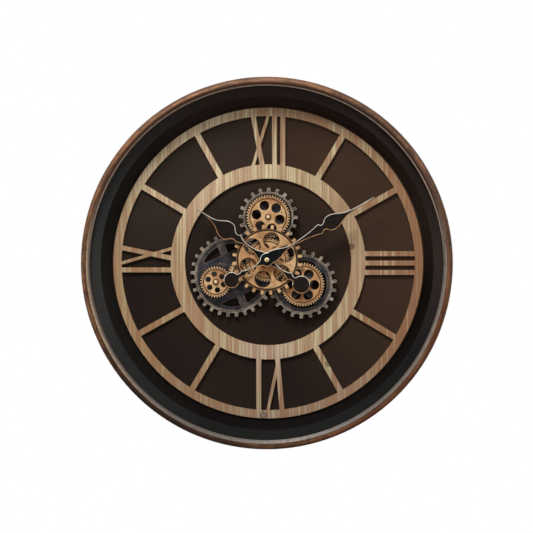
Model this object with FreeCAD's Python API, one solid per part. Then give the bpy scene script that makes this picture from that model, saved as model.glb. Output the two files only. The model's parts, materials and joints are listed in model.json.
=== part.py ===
import FreeCAD, Part
import math
import os

# A round wall clock with a deep metal case, a wooden numeral ring and turning display gears.
# Lengths are millimetres. X runs right, Z runs up, and the front faces minus Y.
# The origin is on the case's axis, in the plane of the wall. The hands and gears stand a little above it.
# A depth is the distance that something stands out from the wall.

# Case
case_radius = 300.0
case_wall = 2.5
case_nose_radius = 8.5
case_front_band = 9.5
case_back_draw = 7.0
back_flange_width = 12.0
case_screw_share = 0.6
ledge_width = 6.5
glass_set_back = 10.0
glass_room = 4.4

# Glass, seal and bead
glass_thick = 3.0
glass_edge_gap = 1.0
seal_thick = 1.0
seal_width = 4.5
bead_height = 5.0
bead_crest_width = 1.0
bead_foot_height = 1.0

# Numeral ring; its inner band sits a little high, and its plain hour bars point above its middle and are turned
# clockwise
ring_thick = 4.0
outer_band_width = 13.5
inner_band_width = 23.2
inner_band_rise = 2.0
gear_room = 6.0
numeral_bar_width = 8.1
hour_bar_width = 9.6
hour_bar_turn = 0.8
hour_bar_rise = 2.6
thick_stroke_width = 7.9
thin_stroke_width = 5.3
numeral_reach = 24.0
numeral_let_in = 4.5

# Dial board and the black liner between it and the case
board_thick = 4.0
rear_room = 10.5
board_margin = 15.0
liner_sheet = 1.5
liner_gap = 2.2
liner_band_width = 16.0
liner_skirt_width = 16.0
liner_step_drop = 7.5
liner_lead = 1.0
liner_flange_width = 6.0
liner_foot_width = 6.0

# Cleats that carry the board, with their screws
cleat_count = 8
cleat_length = 32.0
cleat_width = 30.0
case_screw_radius = 1.75
case_screw_head_radius = 3.2
case_screw_head_depth = 1.8
case_screw_length = 20.0
board_screw_radius = 1.75
board_screw_head_radius = 3.0
board_screw_head_height = 2.2
board_screw_length = 18.0

# Keyhole hanger
hanger_width = 60.0
hanger_height = 34.0
hanger_thick = 2.5
hanger_top_margin = 2.0
keyhole_entry_radius = 4.5
keyhole_slot_width = 4.5
keyhole_slot_length = 9.0
keyhole_drop = 18.0
hanger_rivet_radius = 2.0
hanger_rivet_head_radius = 3.6
hanger_rivet_head_height = 1.2
hanger_rivet_spacing = 40.0
hanger_rivet_margin = 1.0

# Fine gold gears
tooth_flank_angle = 20.0
fine_module = 1.44
fine_teeth = 48
idler_teeth = 22
small_teeth = 34
fine_addendum = 1.0
fine_dedendum = 1.8
fine_flank_gap = 0.45
fine_thick = 3.5
fine_hole_radius = 7.7
fine_hole_distance = 19.3
fine_groove_radius = 30.0
top_hole_angle = 48.0
top_mark_angle = 18.0
centre_hole_angle = 45.0
centre_mark_angle = 15.0
right_hole_angle = 58.0
right_mark_angle = 83.5
small_hole_radius = 4.3
small_hole_distance = 13.2
small_groove_radius = 20.5
small_hole_angle = 41.6
small_mark_angle = 128.0
idler_web_radius = 9.0

# Coarse gears; a clear size is the room between a gear's tips and the axis of the gold gear beside it
top_grey_teeth = 20
right_grey_teeth = 22
front_teeth = 24
coarse_tooth_width = 5.1
coarse_tooth_height = 6.6
coarse_tooth_corner = 1.4
top_grey_clear = 21.8
right_grey_clear = 14.2
front_clear = 12.4
grey_thick = 4.0
grey_web_sink = 1.2
top_grey_rim_width = 3.2
top_grey_hub_radius = 12.0
top_grey_spoke_width = 13.0
top_grey_spoke_angle = 48.0
right_grey_rim_width = 3.8
right_grey_hub_radius = 15.0
right_grey_spoke_width = 15.0
right_grey_spoke_angle = 43.0
right_grey_web_width = 5.4
window_corner_radius = 3.0
front_thick = 4.0
front_hole_radius = 13.2
front_hole_distance = 31.9
front_groove_radius = 48.3
front_hole_angle = 17.7
front_mark_distance = 37.8
front_mark_angle = 107.0
gear_groove_width = 0.9
gear_groove_depth = 0.6
dimple_radius = 0.8
dimple_depth = 0.5

# Where the gears stand, with the turn of one tooth of each first gear
hub_rise = 5.2
top_station_angle = 89.1
right_station_angle = -35.1
top_gold_phase = 2.42
top_grey_phase = 17.18
right_grey_phase = 5.83
front_phase = 6.23

# Left plate: fixed and gear-shaped, it carries the idler and the small gear, and the stem clamps it
plate_hub_overlap = 5.3
plate_angle = 203.15
plate_radius = 67.8
plate_teeth = 29
plate_phase = 2.85
plate_thick = 3.5
plate_rim_width = 10.8
plate_web_sink = 1.0
plate_window_margin = 6.0
plate_window_corner = 1.5
plate_window_height = 15.7
plate_spoke_width = 12.2
plate_spoke_angle = 111.0
plate_eye_thick = 1.4
plate_eye_margin = 1.0
plate_screw_radius = 1.5
plate_screw_head_radius = 2.2
plate_screw_head_height = 1.0
plate_screw_grip = 3.5
plate_screw_margin = 6.6
plate_inner_screw_radius = 26.3
plate_inner_screw_angle = 138.0
standoff_radius = 4.0

# Depths of the layers in front of the board
plate_lift = 3.0
grey_lift = 1.0
fine_lift = 2.0
front_lift = 2.0
hour_hand_lift = 3.0
minute_hand_lift = 2.0
axial_gap = 0.3
running_gap = 0.05

# Posts and shafts
post_radius = 3.0
post_shoulder_radius = 6.0
post_spacer_radius = 6.0
post_nut_flats = 9.0
post_nut_thick = 3.0
pin_radius = 2.5
pin_collar_radius = 4.5
pin_head_thick = 1.0
cap_flange_radius = 5.1
cap_flange_thick = 0.9
cap_button_radius = 3.4
cap_bevel_share = 0.3
cap_crown_share = 0.6
cap_height = 2.9
cap_skin = 1.2
idler_cap_radius = 4.0
idler_cap_height = 1.3
idler_cap_skin = 0.5

# Centre sleeve on the clock movement's stem
stem_radius = 4.0
stem_flange_radius = 7.0
stem_flange_thick = 1.0
stem_washer_radius = 9.0
stem_washer_thick = 0.8
stem_nut_flats = 12.0
stem_nut_thick = 2.6
sleeve_radius = 6.5
sleeve_collar_radius = 9.5
sleeve_lead = 0.6
clip_radius = 8.0
clip_thick = 1.0
stem_lead = 0.5

# Hands
hour_hand_length = 139.3
minute_hand_length = 200.8
hand_thick = 1.2
hour_hub_radius = 12.0
minute_hub_radius = 11.0
hour_spoon_radius = 14.3
minute_spoon_radius = 12.8
hour_hand_angle = 306.0
minute_hand_angle = 60.0
hand_nut_flats = 7.6
hand_nut_thick = 1.6
hand_nut_dome_radius = 3.2
arbor_radius = 1.5
pipe_wall = 1.05

# Clock movement and gear motor behind the board
cell_radius = 7.1
cell_length = 50.5
cell_nub_radius = 2.75
cell_nub_length = 1.0
cell_gap = 0.3
contact_thick = 1.0
contact_width = 9.0
module_wall = 1.2
module_depth = 17.5
movement_top = 26.0
movement_floor = 17.0
drive_top = 30.0
drive_floor = 20.0
bearing_wall = 1.6
bearing_length = 2.0
clockwork_addendum = 0.4
clockwork_dedendum = 0.65
clockwork_flank_gap = 0.2
cannon_teeth = 12
minute_wheel_teeth = 36
minute_pinion_teeth = 10
hour_wheel_teeth = 40
motion_distance = 12.0
wheel_thick = 1.5
minute_wheel_depth = 20.0
cannon_thick = 2.4
setting_shaft_radius = 1.0
knob_radius = 6.0
knob_thick = 4.0
knob_gap = 0.6
knob_flutes = 18
coil_radius = 3.5
coil_length = 24.0
coil_offset = 20.0
coil_flange_width = 9.0
coil_flange_thick = 2.0
circuit_width = 10.0
circuit_length = 32.0
circuit_thick = 1.0
circuit_offset = 20.0
circuit_post_radius = 2.0
circuit_post_length = 6.8
drive_pinion_teeth = 10
drive_wheel_teeth = 60
drive_module = 0.5
drive_wheel_thick = 2.0
drive_wheel_lift = 1.6
drive_motor_radius = 10.5
drive_motor_gap = 1.5
drive_motor_shaft_radius = 0.75
drive_motor_seat = 4.0
drive_ear_reach = 10.0
drive_ear_width = 10.0
drive_ear_thick = 3.0
drive_screw_radius = 1.5
drive_screw_head_radius = 3.0
drive_screw_head_height = 2.2
drive_screw_grip = 3.0

# Small allowances
fit_gap = 0.05
cut_over = 1.0

# Sizes that follow from those above
lip_radius = case_radius - case_nose_radius
ledge_radius = lip_radius - ledge_width
back_radius = case_radius - case_back_draw
flange_radius = back_radius - back_flange_width
liner_step_radius = ledge_radius - liner_band_width
liner_foot_radius = liner_step_radius - liner_skirt_width
ring_radius = liner_foot_radius - liner_gap
board_back = module_depth + rear_room
board_front = board_back + board_thick
board_radius = liner_foot_radius + board_margin
plate_rim_inner_radius = plate_radius - plate_rim_width
plate_band_half_width = plate_rim_inner_radius - plate_window_margin - plate_window_height
plate_distance = plate_radius - plate_hub_overlap
plate_back = board_front + plate_lift
plate_front = plate_back + plate_thick
grey_back = plate_front + grey_lift
grey_front = grey_back + grey_thick
fine_back = grey_front + fine_lift
fine_front = fine_back + fine_thick
front_back = fine_front + front_lift
front_front = front_back + front_thick
hour_back = front_front + hour_hand_lift
hour_front = hour_back + hand_thick
minute_back = hour_front + minute_hand_lift
minute_front = minute_back + hand_thick
glass_ledge = minute_front + 2 * hand_nut_thick + glass_room
glass_front = glass_ledge + seal_thick + glass_thick
case_depth = glass_ledge + glass_set_back
skirt_top = case_depth - case_nose_radius - case_front_band
cover_back = board_back - module_depth
cover_front = cover_back + module_wall
bearing_front = cover_front + bearing_length
module_inside = board_back - module_wall
module_half_width = cell_length / 2 + contact_thick + module_wall
bay_height = 2 * (cell_radius + cell_gap)
pipe_bore = arbor_radius + running_gap
pipe_radius = pipe_bore + pipe_wall
stem_bore = pipe_radius + running_gap


# Places and simple solids

def at(x, z, depth):
    """Point at x and z, standing out from the wall by a depth."""
    return FreeCAD.Vector(x, -depth, z)


def polar(centre, radius, angle):
    """Place at a radius and at an angle in degrees round a centre."""
    turn = math.radians(angle)
    return centre[0] + radius * math.cos(turn), centre[1] + radius * math.sin(turn)


def along(centre, angle, ahead, aside):
    """Place ahead of a centre along an angle, and aside of that line to its left."""
    return polar(polar(centre, ahead, angle), aside, angle + 90)


def ring_edge(centre, radius, depth):
    """Closed round wire at a depth."""
    circle = Part.Circle(at(centre[0], centre[1], depth), FreeCAD.Vector(0, -1, 0), radius)
    return Part.Wire(circle.toShape())


def path_edge(places, depth):
    """Closed wire of straight edges through places at a depth."""
    points = [at(x, z, depth) for x, z in places]
    return Part.makePolygon(points + points[:1])


def slab(wires, back, front):
    """Plate between two depths; wires inside the first are holes."""
    face = Part.makeFace(wires, "Part::FaceMakerBullseye")
    return face.extrude(FreeCAD.Vector(0, back - front, 0)).Solids[0]


def disc(centre, radius, back, front):
    return Part.makeCylinder(radius, front - back, at(*centre, back), FreeCAD.Vector(0, -1, 0))


def tube(centre, outer, inner, back, front):
    return slab([ring_edge(centre, outer, back), ring_edge(centre, inner, back)], back, front)


def block(left, right, low, high, back, front):
    corner = FreeCAD.Vector(left, -front, low)
    return Part.makeBox(right - left, front - back, high - low, corner)


def turned(profile, centre=(0.0, 0.0)):
    """Solid turned round the axis through a centre; each profile edge is a curve or a point."""
    x, z = centre
    shift = FreeCAD.Vector(x, 0, z)
    edges = []
    start = profile[0]
    for step in profile[1:] + profile[:1]:
        if len(step) == 2:
            edges.append(Part.LineSegment(at(start[0], 0, start[1]), at(step[0], 0, step[1])).toShape())
            start = step
        else:
            through, end = step[:2], step[2:]
            bend = Part.Arc(at(start[0], 0, start[1]), at(through[0], 0, through[1]), at(end[0], 0, end[1]))
            edges.append(bend.toShape())
            start = end
    face = Part.Face(Part.Wire(edges))
    solid = face.revolve(at(0, 0, 0), FreeCAD.Vector(0, 1, 0), 360)
    solid.translate(shift)
    return solid.Solids[0]


def dome(radius, seat, height):
    """Profile step of a round cap: through a point half way in, to its top on the axis."""
    sphere = (radius ** 2 + height ** 2) / (2 * height)
    top = seat + height
    return radius / 2, top - sphere + math.sqrt(sphere ** 2 - radius ** 2 / 4), 0, top


def sheet_profile(path, thick):
    """Profile of a bent sheet: the path, and the same path moved to its right by the thickness."""
    moved = []
    for index, corner in enumerate(path):
        before = path[max(index - 1, 0)]
        after = path[min(index + 1, len(path) - 1)]
        normals = []
        for first, last in ((before, corner), (corner, after)):
            run = math.dist(first, last)
            if run > 0:
                normals.append(((last[1] - first[1]) / run, (first[0] - last[0]) / run))
        sum_x = sum(n[0] for n in normals)
        sum_z = sum(n[1] for n in normals)
        stretch = thick * len(normals) / (sum_x ** 2 + sum_z ** 2)
        moved.append((corner[0] + sum_x * stretch, corner[1] + sum_z * stretch))
    return path + moved[::-1]


def hexagon(centre, flats, back, front):
    reach = flats / math.sqrt(3)
    return slab([path_edge([polar(centre, reach, 60 * n) for n in range(6)], back)], back, front)


def fused(shapes):
    solid = shapes[0].fuse(shapes[1:]) if len(shapes) > 1 else shapes[0]
    return solid.removeSplitter()


def write(name, shape):
    """One sub-part's file; a list becomes a group of separate solids."""
    if isinstance(shape, list):
        shape = Part.makeCompound(shape)
    shape.exportStep("parts/" + name + ".step")


# Stations of the gears

case_centre = (0.0, 0.0)
hub = (0.0, hub_rise)


def fine_distance(first_teeth, second_teeth):
    return fine_module * (first_teeth + second_teeth) / 2


gold_distance = fine_distance(fine_teeth, fine_teeth)
top_station = polar(hub, gold_distance, top_station_angle)
right_station = polar(hub, gold_distance, right_station_angle)
plate_station = polar(hub, plate_distance, plate_angle)
idler_station = polar(hub, fine_distance(fine_teeth, idler_teeth), plate_angle)
small_station = polar(idler_station, fine_distance(idler_teeth, small_teeth), plate_angle)


def meshed_phase(phase, centre, teeth, next_centre, next_teeth):
    """Turn that puts a gap of the next gear over a tooth of this one where they meet."""
    angle = math.degrees(math.atan2(next_centre[1] - centre[1], next_centre[0] - centre[0]))
    part_pitch = (angle - phase) * teeth / 360
    return (angle + 180 - (0.5 - part_pitch) * 360 / next_teeth) % (360 / next_teeth)


centre_phase = meshed_phase(top_gold_phase, top_station, fine_teeth, hub, fine_teeth)
right_gold_phase = meshed_phase(centre_phase, hub, fine_teeth, right_station, fine_teeth)
idler_phase = meshed_phase(centre_phase, hub, fine_teeth, idler_station, idler_teeth)
small_phase = meshed_phase(idler_phase, idler_station, idler_teeth, small_station, small_teeth)

inner_band_bore = math.dist(case_centre, plate_station) + plate_radius + gear_room
inner_band_radius = inner_band_bore + inner_band_width
top_grey_tip = gold_distance - top_grey_clear
right_grey_tip = gold_distance - right_grey_clear
front_tip = gold_distance - front_clear


# Gear outlines and blanks

def tapered_teeth(centre, teeth, module, phase, addendum, dedendum, flank_gap, depth):
    """Closed wire of straight-sided teeth that narrow towards their tips."""
    pitch_radius = module * teeth / 2
    half = (math.pi * module / 2 - flank_gap) / 2
    slope = math.tan(math.radians(tooth_flank_angle))
    tip_radius = pitch_radius + addendum
    root_radius = pitch_radius - dedendum
    tip_turn = math.degrees(math.asin((half - addendum * slope) / tip_radius))
    root_turn = math.degrees(math.asin((half + dedendum * slope) / root_radius))
    places = []
    for tooth in range(teeth):
        angle = phase + 360 * tooth / teeth
        places.append(polar(centre, root_radius, angle - root_turn))
        places.append(polar(centre, tip_radius, angle - tip_turn))
        places.append(polar(centre, tip_radius, angle + tip_turn))
        places.append(polar(centre, root_radius, angle + root_turn))
    return path_edge(places, depth)


def fine_wire(centre, teeth, phase, depth):
    return tapered_teeth(
        centre, teeth, fine_module, phase, fine_addendum, fine_dedendum, fine_flank_gap, depth)


def clockwork_wire(centre, teeth, module, phase, depth):
    return tapered_teeth(
        centre, teeth, module, phase, clockwork_addendum, clockwork_dedendum, clockwork_flank_gap, depth)


def knob_teeth(centre, teeth, phase, tip, depth):
    """Closed wire of parallel-sided teeth with rounded corners."""
    half = coarse_tooth_width / 2
    foot = math.sqrt((tip - coarse_tooth_height) ** 2 - half ** 2)
    corner = coarse_tooth_corner
    bend = corner * (1 - math.sqrt(0.5))
    edges = []
    angles = [phase + 360 * tooth / teeth for tooth in range(teeth)]
    for angle, next_angle in zip(angles, angles[1:] + angles[:1]):
        right_foot = at(*along(centre, angle, foot, -half), depth)
        right_side = at(*along(centre, angle, tip - corner, -half), depth)
        right_bend = at(*along(centre, angle, tip - bend, bend - half), depth)
        right_tip = at(*along(centre, angle, tip, corner - half), depth)
        left_tip = at(*along(centre, angle, tip, half - corner), depth)
        left_bend = at(*along(centre, angle, tip - bend, half - bend), depth)
        left_side = at(*along(centre, angle, tip - corner, half), depth)
        left_foot = at(*along(centre, angle, foot, half), depth)
        next_foot = at(*along(centre, next_angle, foot, -half), depth)
        edges.append(Part.LineSegment(right_foot, right_side).toShape())
        edges.append(Part.Arc(right_side, right_bend, right_tip).toShape())
        edges.append(Part.LineSegment(right_tip, left_tip).toShape())
        edges.append(Part.Arc(left_tip, left_bend, left_side).toShape())
        edges.append(Part.LineSegment(left_side, left_foot).toShape())
        edges.append(Part.LineSegment(left_foot, next_foot).toShape())
    return Part.Wire(edges)


def hole_wires(centre, radius, circle, angle, depth, count=6):
    return [ring_edge(polar(centre, circle, angle + 360 * n / count), radius, depth) for n in range(count)]


def grooved(gear, centre, radius, front):
    """The gear with a round groove in its front face."""
    inner = radius - gear_groove_width
    return gear.cut(tube(centre, radius, inner, front - gear_groove_depth, front + cut_over))


def dimpled(gear, centre, circle, angle, front, count=2):
    """The gear with small blind marks, evenly spaced in its front face."""
    places = [polar(centre, circle, angle + 360 * n / count) for n in range(count)]
    marks = [disc(place, dimple_radius, front - dimple_depth, front + cut_over) for place in places]
    return gear.cut(Part.makeCompound(marks))


def spoke_windows(centre, outer, inner, spoke_width, spoke_angles, back, front):
    """Cutters with round corners between four spokes."""
    room = tube(centre, outer, inner, back, front)
    reach = outer + cut_over
    for angle in spoke_angles:
        half = spoke_width / 2
        corners = [
            along(centre, angle, -reach, -half), along(centre, angle, reach, -half),
            along(centre, angle, reach, half), along(centre, angle, -reach, half),
        ]
        room = room.cut(slab([path_edge(corners, back)], back, front))
    return [rounded_upright(piece, window_corner_radius) for piece in room.Solids]


def rounded_upright(solid, radius):
    """The solid with its edges along the depth rounded."""
    upright = []
    for edge in solid.Edges:
        ends = [vertex.Point for vertex in edge.Vertexes]
        if len(ends) == 2 and abs(ends[0].x - ends[1].x) + abs(ends[0].z - ends[1].z) < fit_gap:
            upright.append(edge)
    return solid.makeFillet(radius, upright)


# Case, glass and trim

def case_rim():
    """Spun shell: back flange, flared skirt, rounded nose, inner lip and glass ledge."""
    nose_depth = case_depth - case_nose_radius
    inner_nose = case_nose_radius - case_wall
    diagonal = math.sqrt(0.5)
    lip_back_radius = lip_radius + case_wall
    lip_top = nose_depth + math.sqrt(inner_nose ** 2 - case_wall ** 2)
    slope = (case_radius - back_radius) / skirt_top
    return turned([
        (back_radius, 0),
        (case_radius, skirt_top),
        (case_radius, nose_depth),
        (lip_radius + case_nose_radius * diagonal, nose_depth + case_nose_radius * diagonal,
         lip_radius, case_depth),
        (lip_radius, glass_ledge),
        (ledge_radius, glass_ledge),
        (ledge_radius, glass_ledge - case_wall),
        (lip_back_radius, glass_ledge - case_wall),
        (lip_back_radius, lip_top),
        (lip_radius + inner_nose * diagonal, nose_depth + inner_nose * diagonal,
         case_radius - case_wall, nose_depth),
        (case_radius - case_wall, skirt_top),
        (back_radius - case_wall + slope * case_wall, case_wall),
        (flange_radius, case_wall),
        (flange_radius, 0),
    ])


def drilled_case():
    """The shell with countersunk screw holes and rivet holes in its back flange."""
    rim = case_rim()
    cutters = []
    for angle in cleat_angles():
        cutters.append(countersunk(polar(case_centre, case_screw_circle, angle), case_screw_length, fit_gap))
    for place in hanger_rivet_places():
        cutters.append(disc(place, hanger_rivet_radius + fit_gap, -cut_over, case_wall + cut_over))
    return rim.cut(Part.makeCompound(cutters))


def countersunk(place, length, gap):
    """Screw with a flat sunk head at the wall plane; with a gap it is its own cutter."""
    shank = case_screw_radius + gap
    head = case_screw_head_radius + gap
    return turned([
        (0, 0), (head, 0), (shank, case_screw_head_depth + gap), (shank, length + gap), (0, length + gap),
    ], place)


def glass_pane():
    return disc(case_centre, lip_radius - glass_edge_gap, glass_ledge + seal_thick, glass_front)


def glass_seal():
    outer = ledge_radius + (ledge_width + seal_width) / 2
    return tube(case_centre, outer, outer - seal_width, glass_ledge, glass_ledge + seal_thick)


def glass_bead():
    """Sloping retaining ring that snaps in behind the nose and holds the glass."""
    outer = lip_radius - fit_gap
    return turned([
        (outer, glass_front),
        (outer, glass_front + bead_height),
        (outer - bead_crest_width, glass_front + bead_height),
        (ledge_radius, glass_front + bead_foot_height),
        (ledge_radius, glass_front),
    ])


def dial_liner():
    """Black bent sheet from the ledge down to the dial board."""
    top = glass_ledge - case_wall
    lead_radius = ledge_radius - liner_lead
    path = [
        (lead_radius + liner_flange_width, top),
        (lead_radius, top),
        (liner_step_radius, top - liner_step_drop),
        (liner_foot_radius, board_front),
        (liner_foot_radius + liner_foot_width, board_front),
    ]
    return turned(sheet_profile(path, -liner_sheet))


# Cleats and hanger

case_screw_circle = back_radius - back_flange_width * case_screw_share
board_screw_circle = board_radius - board_screw_head_radius - fit_gap


def cleat_angles():
    return [360 * (n + 0.5) / cleat_count for n in range(cleat_count)]


def cleat(angle):
    """Wooden block between the case's back flange and the board, with its two pilot holes."""
    outer = back_radius - case_wall - cut_over
    inner = outer - cleat_length
    half = cleat_width / 2
    far = math.sqrt(outer ** 2 - half ** 2)
    corners = [
        along(case_centre, angle, inner, -half), along(case_centre, angle, far, -half),
        along(case_centre, angle, far, half), along(case_centre, angle, inner, half),
    ]
    wood = slab([path_edge(corners, case_wall)], case_wall, board_back)
    rear_place = polar(case_centre, case_screw_circle, angle)
    rear_hole = disc(rear_place, case_screw_radius + fit_gap, 0, case_screw_length)
    front_place = polar(case_centre, board_screw_circle, angle)
    front_end = board_front - board_screw_length
    front_hole = disc(front_place, board_screw_radius + fit_gap, front_end, board_front)
    return wood.cut(Part.makeCompound([rear_hole, front_hole]))


def board_screw(angle):
    place = polar(case_centre, board_screw_circle, angle)
    return turned([
        (0, board_front - board_screw_length),
        (board_screw_radius, board_front - board_screw_length),
        (board_screw_radius, board_front),
        (board_screw_head_radius, board_front),
        (board_screw_head_radius, board_front + board_screw_head_height / 2),
        (board_screw_radius, board_front + board_screw_head_height),
        (0, board_front + board_screw_head_height),
    ], place)


def hanger_top():
    """Top edge of the plate, inside the skirt at the plate's corners."""
    room = back_radius - case_wall - hanger_top_margin
    return math.sqrt(room ** 2 - (hanger_width / 2) ** 2)


def keyhole_place():
    return 0.0, hanger_top() - keyhole_drop


def hanger_rivet_places():
    height = hanger_top() - hanger_rivet_head_radius - hanger_rivet_margin
    return [(side * hanger_rivet_spacing / 2, height) for side in (-1, 1)]


def hanger_plate():
    """Steel plate with a keyhole: a round way in, and a narrow slot above it."""
    top = hanger_top()
    back = case_wall
    front = back + hanger_thick
    plate = block(-hanger_width / 2, hanger_width / 2, top - hanger_height, top, back, front)
    x, z = keyhole_place()
    entry = disc((x, z), keyhole_entry_radius, back - cut_over, front + cut_over)
    half = keyhole_slot_width / 2
    slot_top = z + keyhole_slot_length
    slot = block(x - half, x + half, z, slot_top, back - cut_over, front + cut_over)
    slot_end = disc((x, slot_top), half, back - cut_over, front + cut_over)
    rivet_holes = [
        disc(place, hanger_rivet_radius + fit_gap, back - cut_over, front + cut_over)
        for place in hanger_rivet_places()
    ]
    plate = plate.cut(fused([entry, slot, slot_end]))
    return plate.cut(Part.makeCompound(rivet_holes))


def hanger_rivet(place):
    seat = case_wall + hanger_thick
    return turned([
        (0, 0), (hanger_rivet_radius, 0), (hanger_rivet_radius, seat), (hanger_rivet_head_radius, seat),
        dome(hanger_rivet_head_radius, seat, hanger_rivet_head_height),
    ], place)


# Dial board and numeral ring

def dial_board():
    """Flat board with holes for the stem, the drive shaft, the post and every screw."""
    holes = [
        ring_edge(hub, stem_radius + fit_gap, board_back),
        ring_edge(top_station, post_radius + axial_gap, board_back),
        ring_edge(right_station, post_radius + fit_gap, board_back),
    ]
    for place in plate_screw_places():
        holes.append(ring_edge(place, plate_screw_radius + fit_gap, board_back))
    for angle in cleat_angles():
        place = polar(case_centre, board_screw_circle, angle)
        holes.append(ring_edge(place, board_screw_radius + fit_gap, board_back))
    for place in drive_screw_places():
        holes.append(ring_edge(place, drive_screw_radius + fit_gap, board_back))
    return slab([ring_edge(case_centre, board_radius, board_back)] + holes, board_back, board_front)


# Strokes of the numerals, clockwise places at the outer and inner bands as shares of their reach
twelve_shares = [(-1.0, -0.38, "thick"), (0.0, -1.0, "thin"), (0.44, 0.44, "bar"), (1.0, 1.0, "bar")]
three_shares = [(-0.63, -0.63, "bar"), (0.0, 0.0, "bar"), (0.63, 0.63, "bar")]
six_shares = [(0.63, 0.63, "bar"), (-0.95, -0.65, "thick"), (0.0, -0.69, "thin")]
nine_shares = [(-0.46, -0.46, "bar"), (1.04, 0.34, "thick"), (0.0, 0.96, "thin")]
stroke_widths = {"bar": numeral_bar_width, "thick": thick_stroke_width, "thin": thin_stroke_width}


def stroke(centre, angle, outer_place, inner_place, width):
    """Straight stroke from the inner band to the outer one, let into both."""
    outer = ring_radius - outer_band_width
    lean = (outer_place - inner_place) / (outer - inner_band_radius) * numeral_let_in
    near, far = inner_band_radius - numeral_let_in, outer + numeral_let_in
    near_aside, far_aside = lean - inner_place, -outer_place - lean
    half = width / 2
    corners = [
        along(centre, angle, near, near_aside - half), along(centre, angle, far, far_aside - half),
        along(centre, angle, far, far_aside + half), along(centre, angle, near, near_aside + half),
    ]
    return slab([path_edge(corners, board_front)], board_front, board_front + ring_thick)


def numeral_ring():
    """Two wooden bands joined by four numerals and eight plain hour bars."""
    front = board_front + ring_thick
    pieces = [
        tube(case_centre, ring_radius, ring_radius - outer_band_width, board_front, front),
        tube((0, inner_band_rise), inner_band_radius, inner_band_bore, board_front, front),
    ]
    for hour in range(12):
        if hour % 3:
            pieces.append(stroke((0, hour_bar_rise), 30 * hour - hour_bar_turn, 0, 0, hour_bar_width))
    for angle, shares in ((90, twelve_shares), (0, three_shares), (270, six_shares), (180, nine_shares)):
        for outer_share, inner_share, kind in shares:
            outer_place = outer_share * numeral_reach
            inner_place = inner_share * numeral_reach
            pieces.append(stroke(case_centre, angle, outer_place, inner_place, stroke_widths[kind]))
    return fused(pieces)


# Gold gears

def fine_gear(centre, phase, bore, hole_angle, mark_angle):
    """Gold gear of 48 teeth with six round holes, a groove and marks."""
    wires = [fine_wire(centre, fine_teeth, phase, fine_back), ring_edge(centre, bore, fine_back)]
    wires += hole_wires(centre, fine_hole_radius, fine_hole_distance, hole_angle, fine_back)
    gear = grooved(slab(wires, fine_back, fine_front), centre, fine_groove_radius, fine_front)
    mark_circle = fine_groove_radius - fine_hole_radius + dimple_radius
    return dimpled(gear, centre, mark_circle, mark_angle, fine_front)


def top_gold_gear():
    return fine_gear(top_station, top_gold_phase, post_radius, top_hole_angle, top_mark_angle)


def centre_fine_gear():
    return fine_gear(hub, centre_phase, sleeve_radius, centre_hole_angle, centre_mark_angle)


def right_gold_gear():
    bore = post_radius + running_gap
    return fine_gear(right_station, right_gold_phase, bore, right_hole_angle, right_mark_angle)


def idler_gear():
    """Small gear with a thinned web that links the centre gear to the small gold gear."""
    bore = pin_radius + running_gap
    teeth = fine_wire(idler_station, idler_teeth, idler_phase, fine_back)
    wires = [teeth, ring_edge(idler_station, bore, fine_back)]
    gear = slab(wires, fine_back, fine_front)
    return grooved(gear, idler_station, idler_web_radius, fine_front)


def small_gold_gear():
    bore = pin_radius + running_gap
    teeth = fine_wire(small_station, small_teeth, small_phase, fine_back)
    wires = [teeth, ring_edge(small_station, bore, fine_back)]
    wires += hole_wires(small_station, small_hole_radius, small_hole_distance, small_hole_angle, fine_back)
    gear = slab(wires, fine_back, fine_front)
    gear = grooved(gear, small_station, small_groove_radius, fine_front)
    return dimpled(gear, small_station, small_groove_radius - small_hole_radius, small_mark_angle, fine_front)


def front_gear():
    """Large coarse gold gear in front of the others, with six big holes."""
    wires = [knob_teeth(hub, front_teeth, front_phase, front_tip, front_back)]
    wires.append(ring_edge(hub, sleeve_radius, front_back))
    wires += hole_wires(hub, front_hole_radius, front_hole_distance, front_hole_angle, front_back)
    gear = grooved(slab(wires, front_back, front_front), hub, front_groove_radius, front_front)
    return dimpled(gear, hub, front_mark_distance, front_mark_angle, front_front, 3)


# Grey gears

def spoked_gear(centre, teeth, phase, tip, rim_width, web_width, bore, hub_radius, spoke_width, spoke_angle):
    """Coarse gear with a raised toothed rim, a sunk web and four spokes."""
    wires = [knob_teeth(centre, teeth, phase, tip, grey_back), ring_edge(centre, bore, grey_back)]
    gear = slab(wires, grey_back, grey_front)
    rim_inner = tip - coarse_tooth_height - rim_width
    gear = gear.cut(tube(centre, rim_inner, hub_radius, grey_front - grey_web_sink, grey_front + cut_over))
    angles = (spoke_angle, spoke_angle + 90)
    back, front = grey_back - cut_over, grey_front + cut_over
    windows = spoke_windows(centre, rim_inner - web_width, hub_radius, spoke_width, angles, back, front)
    return gear.cut(Part.makeCompound(windows))


def top_grey_gear():
    return spoked_gear(
        top_station, top_grey_teeth, top_grey_phase, top_grey_tip, top_grey_rim_width, 0, post_radius,
        top_grey_hub_radius, top_grey_spoke_width, top_grey_spoke_angle)


def right_grey_gear():
    return spoked_gear(
        right_station, right_grey_teeth, right_grey_phase, right_grey_tip, right_grey_rim_width,
        right_grey_web_width, post_radius + running_gap, right_grey_hub_radius, right_grey_spoke_width,
        right_grey_spoke_angle)


# Left plate

def plate_screw_places():
    """Places of the three screws: one on each spoke and one on the broad band."""
    circle = plate_rim_inner_radius - plate_screw_margin
    return [
        polar(plate_station, circle, plate_spoke_angle),
        polar(plate_station, circle, plate_spoke_angle + 180),
        polar(plate_station, plate_inner_screw_radius, plate_inner_screw_angle),
    ]


def strip(centre, angle, reach, half_width, back, front):
    """Straight bar through a centre."""
    corners = [
        along(centre, angle, -reach, -half_width), along(centre, angle, reach, -half_width),
        along(centre, angle, reach, half_width), along(centre, angle, -reach, half_width),
    ]
    return slab([path_edge(corners, back)], back, front)


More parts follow.
